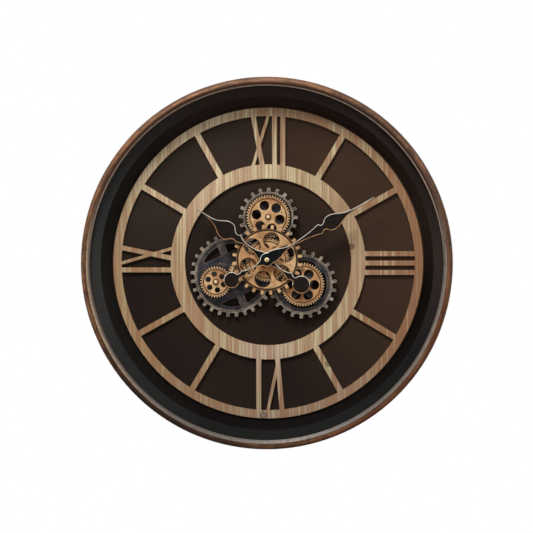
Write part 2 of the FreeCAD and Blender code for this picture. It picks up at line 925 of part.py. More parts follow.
def plate_windows(back, front):
    """Cutters left and right of both spokes, outside the broad band."""
    radius = plate_rim_inner_radius - plate_window_margin
    reach = radius + cut_over
    room = disc(plate_station, radius, back, front)
    room = room.cut(strip(plate_station, plate_spoke_angle, reach, plate_spoke_width / 2, back, front))
    room = room.cut(strip(plate_station, plate_angle, reach, plate_band_half_width, back, front))
    return [rounded_upright(piece, plate_window_corner) for piece in room.Solids]


def left_plate():
    """Toothed plate with a raised rim, a sunk web with four windows, and an eye for the stem."""
    back, front = plate_back - cut_over, plate_front + cut_over
    teeth = knob_teeth(plate_station, plate_teeth, plate_phase, plate_radius, plate_back)
    blank = slab([teeth], plate_back, plate_front)
    eye_front = plate_back + plate_eye_thick
    eye_radius = stem_washer_radius + plate_eye_margin
    plate = fused([blank, disc(hub, eye_radius, plate_back, eye_front)])
    cutters = [
        disc(plate_station, plate_rim_inner_radius, plate_front - plate_web_sink, front),
        disc(hub, eye_radius, eye_front, front),
        disc(hub, stem_radius + fit_gap, back, front),
    ]
    plate = plate.cut(fused(cutters))
    holes = [disc(place, plate_screw_radius + fit_gap, back, front) for place in plate_screw_places()]
    holes += [disc(place, pin_radius + fit_gap, back, front) for place in (idler_station, small_station)]
    return plate.cut(Part.makeCompound(plate_windows(back, front) + holes))


def plate_standoffs():
    """Sleeves between the board and the plate, at its three screws and round the stem."""
    bore = plate_screw_radius + fit_gap
    sleeves = [tube(place, standoff_radius, bore, board_front, plate_back) for place in plate_screw_places()]
    sleeves.append(tube(hub, stem_flange_radius, stem_radius + fit_gap, board_front, plate_back))
    return sleeves


def plate_screw(place):
    seat = plate_front - plate_web_sink
    back = board_front - plate_screw_grip
    return turned([
        (0, back), (plate_screw_radius, back), (plate_screw_radius, seat), (plate_screw_head_radius, seat),
        dome(plate_screw_head_radius, seat, plate_screw_head_height),
    ], place)


def plate_pin(place):
    """Post riveted in the plate, with a collar under its gear."""
    rear = plate_back - pin_head_thick
    seat = plate_front - plate_web_sink
    top = fine_front + axial_gap + idler_cap_height - idler_cap_skin
    return turned([
        (0, rear), (pin_collar_radius, rear), (pin_collar_radius, plate_back), (pin_radius, plate_back),
        (pin_radius, seat), (pin_collar_radius, seat),
        (pin_collar_radius, fine_back - axial_gap), (pin_radius, fine_back - axial_gap),
        (pin_radius, top), (0, top),
    ], place)


def button_cap(place, shaft_radius, seat):
    """Round brass cap: a flange with a button on it, pressed over the end of a shaft."""
    bore = shaft_radius + fit_gap
    top = seat + cap_height
    rim_top = top - cap_button_radius * cap_bevel_share
    return turned([
        (bore, seat), (cap_flange_radius, seat), (cap_flange_radius, seat + cap_flange_thick),
        (cap_button_radius + fit_gap, seat + cap_flange_thick), (cap_button_radius + fit_gap, rim_top),
        (cap_button_radius * cap_crown_share, top), (0, top), (0, top - cap_skin), (bore, top - cap_skin),
    ], place)


def idler_cap():
    bore = pin_radius + fit_gap
    seat = fine_front + axial_gap
    top = seat + idler_cap_height
    return turned([
        (bore, seat), (idler_cap_radius, seat), (idler_cap_radius, top), (0, top),
        (0, top - idler_cap_skin), (bore, top - idler_cap_skin),
    ], idler_station)


# Top and right stations

def shaft_end(seat):
    """Depth of the end of a shaft inside its cap."""
    return seat + cap_height - cap_skin - fit_gap


def output_shaft():
    """Shaft of the gear motor, with a shoulder that carries the two top gears."""
    shoulder = board_front + axial_gap
    rear = cover_front + axial_gap
    end = shaft_end(fine_front)
    return turned([
        (0, rear), (post_radius, rear), (post_radius, shoulder), (post_shoulder_radius, shoulder),
        (post_shoulder_radius, grey_back), (post_radius, grey_back), (post_radius, end), (0, end),
    ], top_station)


def gear_spacer(place):
    """Ring between a station's grey and gold gears, which turn as one."""
    return tube(place, post_spacer_radius, post_radius + running_gap, grey_front, fine_back)


def right_post():
    """Fixed post with a shoulder on the board's front and a threaded end behind it."""
    shoulder = grey_back - axial_gap
    rear = board_back - post_nut_thick - cut_over
    end = shaft_end(fine_front + axial_gap)
    return turned([
        (0, rear), (post_radius, rear), (post_radius, board_front), (post_shoulder_radius, board_front),
        (post_shoulder_radius, shoulder), (post_radius, shoulder), (post_radius, end), (0, end),
    ], right_station)


def right_post_nut():
    rear = board_back - post_nut_thick
    nut = hexagon(right_station, post_nut_flats, rear, board_back)
    return nut.cut(disc(right_station, post_radius + fit_gap, rear - cut_over, board_back + cut_over))


# Centre station

stem_washer_back = plate_back + plate_eye_thick
stem_nut_back = stem_washer_back + stem_washer_thick
stem_nut_front = stem_nut_back + stem_nut_thick
sleeve_front = front_front + sleeve_lead
clip_front = sleeve_front + axial_gap + clip_thick


def centre_sleeve():
    """Brass sleeve that carries both centre gears and turns on the movement's stem."""
    bore = stem_radius + running_gap
    back = stem_nut_front + axial_gap
    return turned([
        (bore, back), (sleeve_collar_radius, back), (sleeve_collar_radius, fine_back),
        (sleeve_radius, fine_back), (sleeve_radius, sleeve_front), (bore, sleeve_front),
    ], hub)


def centre_spacer():
    return tube(hub, sleeve_collar_radius, sleeve_radius + fit_gap, fine_front, front_back)


def stem_clip():
    """Ring on the stem that keeps the sleeve from sliding off."""
    return tube(hub, clip_radius, stem_radius + fit_gap, sleeve_front + axial_gap, clip_front)


def movement_stem():
    """Threaded bush of the movement, with a flange inside its case."""
    flange_back = module_inside - stem_flange_thick
    end = clip_front + stem_lead
    return turned([
        (stem_bore, flange_back), (stem_flange_radius, flange_back), (stem_flange_radius, module_inside),
        (stem_radius, module_inside), (stem_radius, end), (stem_bore, end),
    ], hub)


def stem_washer():
    return tube(hub, stem_washer_radius, stem_radius + fit_gap, stem_washer_back, stem_nut_back)


def stem_nut():
    nut = hexagon(hub, stem_nut_flats, stem_nut_back, stem_nut_front)
    return nut.cut(disc(hub, stem_radius + fit_gap, stem_nut_back - cut_over, stem_nut_front + cut_over))


# Hands, as half widths at places along the hand, both as shares of its length
hour_blade_shares = [
    (1.0, 0.0085), (0.84, 0.0125), (0.714, 0.046), (0.63, 0.098), (0.578, 0.108),
    (0.533, 0.098), (0.492, 0.057), (0.445, 0.036),
]
hour_body_shares = [
    (0.41, 0.048), (0.33, 0.017), (0.24, 0.015), (0.14, 0.031), (0.07, 0.056),
    (0.0, 0.05), (-0.09, 0.026), (-0.15, 0.015), (-0.24, 0.015), (-0.29, 0.03), (-0.325, 0.048),
]
hour_tail_shares = [(-0.35, 0.026), (-0.375, 0.023), (-0.42, 0.046)]
minute_blade_shares = [
    (1.0, 0.0045), (0.93, 0.0055), (0.85, 0.0065), (0.778, 0.0104), (0.722, 0.021),
    (0.65, 0.052), (0.601, 0.062), (0.561, 0.0505), (0.535, 0.027), (0.513, 0.0245),
]
minute_body_shares = [
    (0.496, 0.0415), (0.4, 0.0215), (0.27, 0.009), (0.19, 0.0115), (0.128, 0.0305), (0.064, 0.047),
    (0.0, 0.04), (-0.06, 0.02), (-0.095, 0.0085), (-0.16, 0.0085), (-0.195, 0.015), (-0.22, 0.027),
]
minute_tail_shares = [(-0.24, 0.017), (-0.252, 0.0165), (-0.285, 0.033)]
hour_spoon_share = -0.49
minute_spoon_share = -0.327


def hand_runs(length, runs, angle, side, depth):
    """Curves down one side of a hand, from its tip to its tail."""
    curves = []
    for shares in runs:
        places = [along(hub, 90 - angle, ahead * length, side * aside * length) for ahead, aside in shares]
        curve = Part.BSplineCurve()
        curve.interpolate([at(x, z, depth) for x, z in places])
        curves.append(curve)
    return curves


def hand(length, runs, angle, hub_radius, bore, spoon_share, spoon_radius, back):
    """Spade hand: a curved blade and body, a round boss, and a spoon at the tail."""
    left = hand_runs(length, runs, angle, 1, back)
    right = hand_runs(length, runs, angle, -1, back)
    edges = []
    for side in (left, right):
        for curve, next_curve in zip(side, side[1:] + [None]):
            edges.append(curve.toShape())
            if next_curve is not None:
                edges.append(Part.LineSegment(curve.EndPoint, next_curve.StartPoint).toShape())
    edges.append(Part.LineSegment(left[0].StartPoint, right[0].StartPoint).toShape())
    edges.append(Part.LineSegment(left[-1].EndPoint, right[-1].EndPoint).toShape())
    outline = Part.Wire(Part.__sortEdges__(edges))
    front = back + hand_thick
    boss = disc(hub, hub_radius, back, front)
    spoon = disc(polar(hub, spoon_share * length, 90 - angle), spoon_radius, back, front)
    solid = fused([slab([outline], back, front), boss, spoon])
    return solid.cut(disc(hub, bore, back - cut_over, front + cut_over))


def hour_hand():
    runs = [hour_blade_shares, hour_body_shares, hour_tail_shares]
    return hand(
        hour_hand_length, runs, hour_hand_angle, hour_hub_radius, pipe_radius,
        hour_spoon_share, hour_spoon_radius, hour_back)


def minute_hand():
    runs = [minute_blade_shares, minute_body_shares, minute_tail_shares]
    return hand(
        minute_hand_length, runs, minute_hand_angle, minute_hub_radius, arbor_radius,
        minute_spoon_share, minute_spoon_radius, minute_back)


def hand_nut():
    """Small domed brass nut on the end of the minute arbor."""
    top = minute_front + hand_nut_thick
    nut = hexagon(hub, hand_nut_flats, minute_front, top)
    crown_profile = [(0, top), (hand_nut_dome_radius, top), dome(hand_nut_dome_radius, top, hand_nut_thick)]
    crown = turned(crown_profile, hub)
    bore = disc(hub, arbor_radius, minute_front - cut_over, top)
    return fused([nut, crown]).cut(bore)


# Motion work of the movement

setting_station = (hub[0], hub[1] + motion_distance)
motion_module = 2 * motion_distance / (cannon_teeth + minute_wheel_teeth)
hour_module = 2 * motion_distance / (minute_pinion_teeth + hour_wheel_teeth)
hour_wheel_front = module_inside - stem_flange_thick - axial_gap
hour_wheel_back = hour_wheel_front - wheel_thick
minute_wheel_phase = 360 / minute_wheel_teeth / 2 + 270
hour_wheel_phase = 90 + 360 / hour_wheel_teeth / 2


def minute_arbor():
    """Arbor of the minute hand, with its cannon pinion."""
    rear = cover_front + axial_gap
    shaft = disc(hub, arbor_radius, rear, minute_front + hand_nut_thick)
    pinion_back = minute_wheel_depth - (cannon_thick - wheel_thick) / 2
    pinion_front = pinion_back + cannon_thick
    teeth = clockwork_wire(hub, cannon_teeth, motion_module, 90, pinion_back)
    return fused([slab([teeth], pinion_back, pinion_front), shaft])


def minute_wheel():
    """Wheel and pinion on the setting shaft, between the arbor and the hour wheel."""
    wheel_front = minute_wheel_depth + wheel_thick
    wheel_teeth = clockwork_wire(
        setting_station, minute_wheel_teeth, motion_module, minute_wheel_phase, minute_wheel_depth)
    pinion_teeth = clockwork_wire(
        setting_station, minute_pinion_teeth, hour_module, 270, wheel_front)
    wheel = slab([wheel_teeth], minute_wheel_depth, wheel_front)
    pinion = slab([pinion_teeth], wheel_front, hour_wheel_front)
    shaft = disc(setting_station, setting_shaft_radius, knob_back, module_inside - axial_gap)
    return fused([wheel, pinion, shaft])


def hour_wheel():
    """Hour wheel with the pipe that carries the hour hand."""
    teeth = clockwork_wire(hub, hour_wheel_teeth, hour_module, hour_wheel_phase, hour_wheel_back)
    wheel = slab([teeth], hour_wheel_back, hour_wheel_front)
    pipe = disc(hub, pipe_radius, hour_wheel_back, hour_front)
    return fused([wheel, pipe]).cut(disc(hub, pipe_bore, hour_wheel_back - cut_over, hour_front + cut_over))


knob_front = cover_back - knob_gap
knob_back = knob_front - knob_thick


def setting_knob():
    """Knurled knob pressed on the rear end of the setting shaft."""
    back, front = knob_back - cut_over, knob_front + cut_over
    flute_radius = knob_radius * math.pi / knob_flutes / 2
    knob = disc(setting_station, knob_radius, knob_back, knob_front)
    cutters = [
        disc(polar(setting_station, knob_radius, 360 * n / knob_flutes), flute_radius, back, front)
        for n in range(knob_flutes)
    ]
    cutters.append(disc(setting_station, setting_shaft_radius, back, front))
    return knob.cut(Part.makeCompound(cutters))


# Cases of the movement and of the gear motor

def module_shell(left, right, low, high, bay_low):
    """Plastic case open behind, with a long bay for a cell at one side of its works."""
    bay_high = bay_low + bay_height
    shell_low = min(low, bay_low) - module_wall
    shell_high = max(high, bay_high) + module_wall
    shell = block(left - module_wall, right + module_wall, shell_low, shell_high, cover_front, board_back)
    works = block(left, right, low, high, cover_front - cut_over, module_inside)
    bay = block(left, right, bay_low, bay_high, cover_front - cut_over, module_inside)
    return shell.cut(Part.makeCompound([works, bay]))


def module_cover(left, right, low, high):
    edge = module_wall - fit_gap
    return block(left - edge, right + edge, low - edge, high + edge, cover_back, cover_front)


def bearing(place, bore, back, front):
    """Round boss with a hole for a shaft."""
    return tube(place, bore + bearing_wall, bore, back, front)


module_left = -module_half_width + module_wall
module_right = module_half_width - module_wall
movement_low = hub[1] - movement_floor
movement_high = hub[1] + movement_top
movement_bay_low = movement_low - module_wall - bay_height
drive_x = top_station[0]
drive_low = top_station[1] - drive_floor
drive_high = top_station[1] + drive_top
drive_bay_low = drive_high + module_wall


def circuit_post_places():
    reach = circuit_length / 2 - 2 * circuit_post_radius
    middle = (movement_high + movement_low) / 2
    return [(circuit_offset, middle + side * reach) for side in (-1, 1)]


def movement_case():
    shell = module_shell(module_left, module_right, movement_low, movement_high, movement_bay_low)
    posts = [
        disc(place, circuit_post_radius, module_inside - circuit_post_length, module_inside + module_wall / 2)
        for place in circuit_post_places()
    ]
    shell = fused([shell] + posts)
    back, front = module_inside - cut_over, board_back + cut_over
    shaft_hole = disc(setting_station, setting_shaft_radius + running_gap, back, front)
    stem_hole = disc(hub, stem_radius + fit_gap, back, front)
    return shell.cut(Part.makeCompound([shaft_hole, stem_hole]))


def movement_cover():
    """Rear cover with the rear bearing of the arbor and the way out of the setting shaft."""
    cover = module_cover(module_left, module_right, movement_low, movement_high)
    cover = fused([cover, bearing(hub, arbor_radius + running_gap, cover_front, bearing_front)])
    bore = setting_shaft_radius + running_gap
    return cover.cut(disc(setting_station, bore, cover_back - cut_over, cover_front + cut_over))


def step_motor():
    """Coil on a bobbin whose two ends stand on the case."""
    middle = (movement_high + movement_low) / 2
    half = coil_length / 2
    axis_depth = module_inside - coil_flange_width / 2
    foot = at(-coil_offset, middle - half, axis_depth)
    coil = Part.makeCylinder(coil_radius, coil_length, foot, FreeCAD.Vector(0, 0, 1))
    ends = []
    for low in (middle - half - coil_flange_thick, middle + half):
        left = -coil_offset - coil_flange_width / 2
        back = module_inside - coil_flange_width
        ends.append(block(left, left + coil_flange_width, low, low + coil_flange_thick, back, module_inside))
    return fused([coil] + ends)


def circuit_board():
    middle = (movement_high + movement_low) / 2
    front = module_inside - circuit_post_length
    left = circuit_offset - circuit_width / 2
    return block(
        left, left + circuit_width, middle - circuit_length / 2, middle + circuit_length / 2,
        front - circuit_thick, front)


def drive_case():
    """Case of the gear motor, with two ears for its screws."""
    left, right = drive_x + module_left, drive_x + module_right
    shell = module_shell(left, right, drive_low, drive_high, drive_bay_low)
    ears = []
    for x, z in drive_screw_places():
        inner = drive_x + math.copysign(module_half_width, x - drive_x)
        outer = inner + math.copysign(drive_ear_reach, x - drive_x)
        ears.append(block(
            min(inner, outer), max(inner, outer), z - drive_ear_width / 2, z + drive_ear_width / 2,
            board_back - drive_ear_thick, board_back))
    shell = fused([shell] + ears)
    holes = [disc(top_station, post_radius + axial_gap, module_inside - cut_over, board_back + cut_over)]
    for place in drive_screw_places():
        back = board_back - drive_ear_thick - cut_over
        holes.append(disc(place, drive_screw_radius + fit_gap, back, board_back + cut_over))
    return shell.cut(Part.makeCompound(holes))


def drive_cover():
    cover = module_cover(drive_x + module_left, drive_x + module_right, drive_low, drive_high)
    return fused([cover, bearing(top_station, post_radius + running_gap, cover_front, bearing_front)])


def drive_screw_places():
    reach = module_half_width + drive_ear_reach / 2
    height = top_station[1] + (drive_top - drive_floor) / 2
    return [(drive_x + side * reach, height) for side in (-1, 1)]


def drive_screw(place):
    head_front = board_back - drive_ear_thick
    rear = head_front - drive_screw_head_height
    tip = board_back + drive_screw_grip
    return turned([
        (0, rear), (drive_screw_head_radius, rear), (drive_screw_head_radius, head_front),
        (drive_screw_radius, head_front), (drive_screw_radius, tip), (0, tip),
    ], place)


# Gear motor works

drive_wheel_back = bearing_front + drive_wheel_lift
drive_wheel_front = drive_wheel_back + drive_wheel_thick
drive_motor_station = (drive_x, top_station[1] + drive_module * (drive_wheel_teeth + drive_pinion_teeth) / 2)
drive_motor_back = drive_wheel_front + drive_motor_gap


def drive_wheel():
    """Large wheel on the output shaft."""
    wires = [
        clockwork_wire(top_station, drive_wheel_teeth, drive_module, 90, drive_wheel_back),
        ring_edge(top_station, post_radius, drive_wheel_back),
    ]
    return slab(wires, drive_wheel_back, drive_wheel_front)


def drive_pinion():
    """Motor shaft with its pinion."""
    back = drive_wheel_back - axial_gap
    front = drive_wheel_front + axial_gap
    phase = 270 + 360 / drive_pinion_teeth / 2
    teeth = clockwork_wire(drive_motor_station, drive_pinion_teeth, drive_module, phase, back)
    shaft_front = drive_motor_back + drive_motor_seat - axial_gap
    shaft = disc(drive_motor_station, drive_motor_shaft_radius, back, shaft_front)
    return fused([slab([teeth], back, front), shaft])


def drive_motor():
    """Round motor can, standing on the case's front wall."""
    can = disc(drive_motor_station, drive_motor_radius, drive_motor_back, module_inside)
    bore = drive_motor_shaft_radius + running_gap
    back, front = drive_motor_back - cut_over, drive_motor_back + drive_motor_seat
    return can.cut(disc(drive_motor_station, bore, back, front))


# Cells and their contacts

def bay_middles():
    """Centre lines of the two cells: x of the middle, and z."""
    return [
        (hub[0], movement_bay_low + bay_height / 2),
        (drive_x, drive_bay_low + bay_height / 2),
    ]


cell_depth = module_inside - cell_gap - cell_radius


def cell(x, z):
    body_length = cell_length - cell_nub_length
    start = at(x - cell_length / 2, z, cell_depth)
    body = Part.makeCylinder(cell_radius, body_length, start, FreeCAD.Vector(1, 0, 0))
    nub_start = at(x - cell_length / 2 + body_length - cell_nub_length, z, cell_depth)
    nub = Part.makeCylinder(cell_nub_radius, 2 * cell_nub_length, nub_start, FreeCAD.Vector(1, 0, 0))
    return fused([body, nub])


def contacts(x, z):
    half = contact_width / 2
    pair = []
    for left in (x - cell_length / 2 - contact_thick, x + cell_length / 2):
        pair.append(block(left, left + contact_thick, z - half, z + half, cell_depth - half, module_inside))
    return pair


# Every sub-part's file

def build():
    os.makedirs("parts", exist_ok=True)
    write("case_rim", drilled_case())
    write("glass_bead", glass_bead())
    write("glass_pane", glass_pane())
    write("glass_seal", glass_seal())
    write("dial_liner", dial_liner())
    write("dial_board", dial_board())
    write("numeral_ring", numeral_ring())
    write("board_cleats", [cleat(angle) for angle in cleat_angles()])
    write("case_screws", [
        countersunk(polar(case_centre, case_screw_circle, angle), case_screw_length, 0)
        for angle in cleat_angles()])
    write("board_screws", [board_screw(angle) for angle in cleat_angles()])
    write("hanger_plate", hanger_plate())
    write("hanger_rivets", [hanger_rivet(place) for place in hanger_rivet_places()])
    write("left_plate", left_plate())
    write("plate_standoffs", plate_standoffs())
    write("plate_screws", [plate_screw(place) for place in plate_screw_places()])
    write("idler_pin", plate_pin(idler_station))
    write("small_gear_pin", plate_pin(small_station))
    write("idler_cap", idler_cap())
    write("small_gear_cap", button_cap(small_station, pin_radius, fine_front + axial_gap))
    write("right_post", right_post())
    write("right_post_nut", right_post_nut())
    write("right_spacer", gear_spacer(right_station))
    write("right_cap", button_cap(right_station, post_radius, fine_front + axial_gap))
    write("output_shaft", output_shaft())
    write("top_spacer", gear_spacer(top_station))
    write("top_cap", button_cap(top_station, post_radius, fine_front))
    write("top_grey_gear", top_grey_gear())
    write("top_gold_gear", top_gold_gear())
    write("centre_sleeve", centre_sleeve())
    write("centre_spacer", centre_spacer())
    write("centre_fine_gear", centre_fine_gear())
    write("front_gear", front_gear())
    write("right_grey_gear", right_grey_gear())
    write("right_gold_gear", right_gold_gear())
    write("idler_gear", idler_gear())
    write("small_gold_gear", small_gold_gear())
    write("stem_clip", stem_clip())
    write("movement_stem", movement_stem())
    write("stem_washer", stem_washer())
    write("stem_nut", stem_nut())
    write("hour_hand", hour_hand())
    write("minute_hand", minute_hand())
    write("hand_nut", hand_nut())
    write("minute_arbor", minute_arbor())
    write("minute_wheel", minute_wheel())
    write("hour_wheel", hour_wheel())
    write("setting_knob", setting_knob())
    write("movement_case", movement_case())
    write("movement_cover", movement_cover())
    write("step_motor", step_motor())
    write("circuit_board", circuit_board())
    write("drive_case", drive_case())
    write("drive_cover", drive_cover())
    write("drive_screws", [drive_screw(place) for place in drive_screw_places()])
    write("drive_motor", drive_motor())
    write("drive_pinion", drive_pinion())
    write("drive_wheel", drive_wheel())
    write("cells", [cell(x, z) for x, z in bay_middles()])
    write("cell_contacts", [plate for x, z in bay_middles() for plate in contacts(x, z)])


build()
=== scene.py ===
import json
import math

import bmesh
import bpy
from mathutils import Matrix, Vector


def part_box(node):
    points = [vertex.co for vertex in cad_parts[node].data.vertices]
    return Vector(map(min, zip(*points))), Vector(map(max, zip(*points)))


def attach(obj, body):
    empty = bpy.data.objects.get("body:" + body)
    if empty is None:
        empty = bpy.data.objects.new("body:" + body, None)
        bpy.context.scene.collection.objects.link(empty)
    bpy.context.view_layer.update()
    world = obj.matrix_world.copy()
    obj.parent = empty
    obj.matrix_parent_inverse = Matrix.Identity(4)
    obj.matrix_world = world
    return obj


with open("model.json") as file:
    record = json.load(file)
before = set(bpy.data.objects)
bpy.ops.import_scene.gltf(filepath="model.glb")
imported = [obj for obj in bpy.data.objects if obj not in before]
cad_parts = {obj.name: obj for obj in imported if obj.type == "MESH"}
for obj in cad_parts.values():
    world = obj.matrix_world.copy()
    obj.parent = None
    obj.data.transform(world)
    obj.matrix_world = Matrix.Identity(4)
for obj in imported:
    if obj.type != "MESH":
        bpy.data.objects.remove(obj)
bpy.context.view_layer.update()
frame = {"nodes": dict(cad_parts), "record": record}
nodes = frame["nodes"]
places = {joint["child"]: Vector(joint["pos_m"]) for joint in frame["record"]["behaviour"]["joints"]}
hub = places["centre_gears"]
top = places["top_gears"]
right = places["right_gears"]
idler = places["idler"]
small = places["small_gear"]


def front_of(node):
    """Distance of a node's front face from the wall."""
    return -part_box(node)[0][1]


# Sizes of the part that its paint follows, in metres

bead_inner = 0.2840
bead_outer = 0.2930
rim_shoulder = 0.2940
liner_fold = 0.2695
band_outer = 0.168
front_groove = 0.04785
front_root = 0.0501
fine_groove = 0.02955
fine_root = 0.0328
fine_tip = 0.0360
small_groove = 0.02005
small_root = 0.0227
small_tip = 0.0259
idler_groove = 0.00855
idler_root = 0.0140
top_rim = 0.0375
top_root = 0.0407
right_rim = 0.0445
right_root = 0.0483
plate_rim = 0.0570
plate_root = 0.0612
plate_tip = 0.0678
grey_sink = 0.0012
plate_sink = 0.0010
spoke_angle = 111
spoke_half = 0.0068
cell_middle = 0.004
cell_sleeve = 0.0170


# Colours are written as they look on a screen

def tone(red, green, blue):
    """Linear colour of a screen colour."""
    def linear(value):
        value = value / 255
        return value / 12.92 if value <= 0.04045 else ((value + 0.055) / 1.055) ** 2.4
    return linear(red), linear(green), linear(blue), 1.0


class Look:
    """A node material, built a node at a time. In it x runs to the right, y to the back and z up, in metres."""

    def __init__(self, name):
        self.mat = bpy.data.materials.new(name)
        self.mat.use_nodes = True
        self.tree = self.mat.node_tree
        self.tree.nodes.clear()
        self.out = self.add("ShaderNodeOutputMaterial")
        self.coords = self.add("ShaderNodeTexCoord").outputs["Object"]

    def add(self, kind, inputs=None, **props):
        node = self.tree.nodes.new(kind)
        for key, value in props.items():
            setattr(node, key, value)
        for key, value in (inputs or {}).items():
            if isinstance(value, bpy.types.NodeSocket):
                self.tree.links.new(value, node.inputs[key])
            else:
                node.inputs[key].default_value = value
        return node

    def vector(self, operation, first, second):
        return self.add("ShaderNodeVectorMath", {0: first, 1: second}, operation=operation).outputs[0]

    def stretched(self, x, y, z):
        return self.vector("MULTIPLY", self.coords, (x, y, z))

    def noise(self, scale, detail=3.0, rough=0.55, vector=None):
        node = self.add("ShaderNodeTexNoise", {
            "Vector": vector or self.coords, "Scale": scale, "Detail": detail, "Roughness": rough})
        return node.outputs["Fac"]

    def math(self, operation, first, second=0.0):
        return self.add("ShaderNodeMath", {0: first, 1: second}, operation=operation).outputs[0]

    def both(self, first, second):
        return self.math("MULTIPLY", first, second)

    def span(self, value, low, high, start=0.0, end=1.0):
        node = self.add("ShaderNodeMapRange", {
            "Value": value, "From Min": low, "From Max": high, "To Min": start, "To Max": end})
        return node.outputs["Result"]

    def mix(self, share, first, second, blend="MIX"):
        node = self.add("ShaderNodeMix", data_type="RGBA", blend_type=blend)
        for socket, value in ((node.inputs[0], share), (node.inputs[6], first), (node.inputs[7], second)):
            if isinstance(value, bpy.types.NodeSocket):
                self.tree.links.new(value, socket)
            else:
                socket.default_value = value
        return node.outputs[2]

    def tint(self, colour, mask, share, shade):
        """The colour with a share of a shade where the mask is 1."""
        return self.mix(self.both(mask, share), colour, shade)

    def ramp(self, share, stops):
        node = self.add("ShaderNodeValToRGB", {"Fac": share})
        elements = node.color_ramp.elements
        while len(elements) < len(stops):
            elements.new(0.5)
        for element, (place, colour) in zip(elements, stops):
            element.position = place
            element.color = colour
        return node.outputs["Color"]

    def axis(self, letter):
        return self.add("ShaderNodeSeparateXYZ", {0: self.coords}).outputs[letter]

    def depth(self):
        """Distance from the wall."""
        return self.both(self.axis(1), -1.0)

    def along(self, degrees, centre=Vector()):
        """Distance from a centre in a direction: 0 is to the right and 90 is up."""
        turn = math.radians(degrees)
        moved = self.vector("SUBTRACT", self.coords, centre)
        way = (math.cos(turn), 0, math.sin(turn))
        return self.add("ShaderNodeVectorMath", {0: moved, 1: way}, operation="DOT_PRODUCT").outputs["Value"]

    def reach(self, x, z):
        """Distance from the axis through x and z that runs front to back."""
        moved = self.vector("SUBTRACT", self.coords, (x, 0, z))
        flat = self.vector("MULTIPLY", moved, (1, 0, 1))
        return self.add("ShaderNodeVectorMath", {0: flat}, operation="LENGTH").outputs["Value"]

    def ring(self, reach, radius, half, core):
        """Mask of a ring: 1 within the core on either side of the radius, and 0 beyond the half width."""
        away = self.math("ABSOLUTE", self.math("SUBTRACT", reach, radius))
        return self.span(away, half, core)

    def edges(self, radius):
        """Mask that is 1 near the piece's corners."""
        bevel = self.add("ShaderNodeBevel", {"Radius": radius}, samples=4).outputs[0]
        face = self.add("ShaderNodeNewGeometry").outputs["Normal"]
        same = self.add("ShaderNodeVectorMath", {0: bevel, 1: face}, operation="DOT_PRODUCT").outputs["Value"]
        return self.span(self.math("SUBTRACT", 1.0, same), 0.01, 0.12)

    def bump(self, height, strength, distance):
        return self.add("ShaderNodeBump", {"Height": height, "Strength": strength, "Distance": distance}).outputs[0]

    def surface(self, colour, rough, metallic=0.0, normal=None, specular=0.5):
        inputs = {"Base Color": colour, "Roughness": rough, "Metallic": metallic, "Specular IOR Level": specular}
        if normal is not None:
            inputs["Normal"] = normal
        shader = self.add("ShaderNodeBsdfPrincipled", inputs)
        self.tree.links.new(shader.outputs[0], self.out.inputs["Surface"])
        return self.mat


# Case, bead, liner and glass

def rim_look():
    """Aged bronze paint: brown with copper rubbed through, and dark patches and streaks that run round the rim, with
    painted shade at the lower left, the upper right, the crest's outer edge and inside the shoulder.
    """
    look = Look("rim_bronze")
    broad = look.noise(9.0, 3.0, 0.6)
    patches = look.noise(30.0, 4.0, 0.65)
    stains = look.noise(55.0, 3.0, 0.7)
    fine = look.noise(240.0, 3.0, 0.6)
    x, z = look.axis(0), look.axis(2)
    depth = look.depth()
    reach = look.reach(0, 0)
    brown = look.ramp(patches, [
        (0.36, tone(78, 53, 38)), (0.47, tone(120, 82, 58)), (0.56, tone(142, 100, 68)), (0.66, tone(122, 82, 56))])
    brown = look.mix(look.span(broad, 0.42, 0.62, 0.0, 0.5), brown, tone(94, 64, 46))
    brown = look.mix(look.span(fine, 0.52, 0.68, 0.0, 0.4), brown, tone(170, 122, 82))
    brown = look.mix(look.span(stains, 0.58, 0.68, 0.0, 0.8), brown, tone(50, 36, 29))

    # Painted shade at the lower left, at the upper right and on the crest's outer edge towards the top; copper at the
    # lower right
    brown = look.mix(look.span(look.along(240), 0.20, 0.30, 0.0, 0.85), brown, tone(38, 27, 23))
    brown = look.mix(look.span(look.along(30), 0.24, 0.30, 0.0, 0.4), brown, tone(66, 50, 42))
    copper = look.both(look.span(z, 0.04, -0.08), look.span(x, 0.02, 0.12))
    copper = look.both(copper, look.span(look.noise(40.0, 3.0, 0.6), 0.40, 0.55, 0.2, 0.8))
    brown = look.mix(copper, brown, tone(128, 74, 48))
    crest_shade = look.both(look.span(reach, 0.2945, 0.2980), look.span(z, 0.02, 0.18, 0.0, 0.6))
    brown = look.mix(crest_shade, brown, tone(84, 62, 50))

    # Streaks: five to the radian round the rim, close together across it and in depth
    round_rim = look.add("ShaderNodeCombineXYZ", {
        0: look.both(look.math("ARCTAN2", x, z), 5.0), 1: look.both(reach, 220.0),
        2: look.both(depth, 160.0)}).outputs[0]
    streaks = look.noise(1.0, 3.0, 0.65, round_rim)
    brown = look.mix(look.span(streaks, 0.50, 0.60, 0.0, 0.6), brown, tone(56, 40, 32))
    brown = look.mix(look.span(streaks, 0.44, 0.36, 0.0, 0.35), brown, tone(172, 122, 84))
    # Painted shade inside the shoulder, where the rim meets the bead
    brown = look.tint(brown, look.span(reach, rim_shoulder, rim_shoulder - 0.0020), 0.5, tone(44, 32, 27))
    # Darker towards the wall
    brown = look.tint(brown, look.span(depth, 0.062, 0.048), 0.6, tone(52, 39, 33))
    rough = look.span(fine, 0.3, 0.7, 0.42, 0.6)
    return look.surface(brown, rough, 0.08, look.bump(fine, 0.12, 0.0003), 0.16)


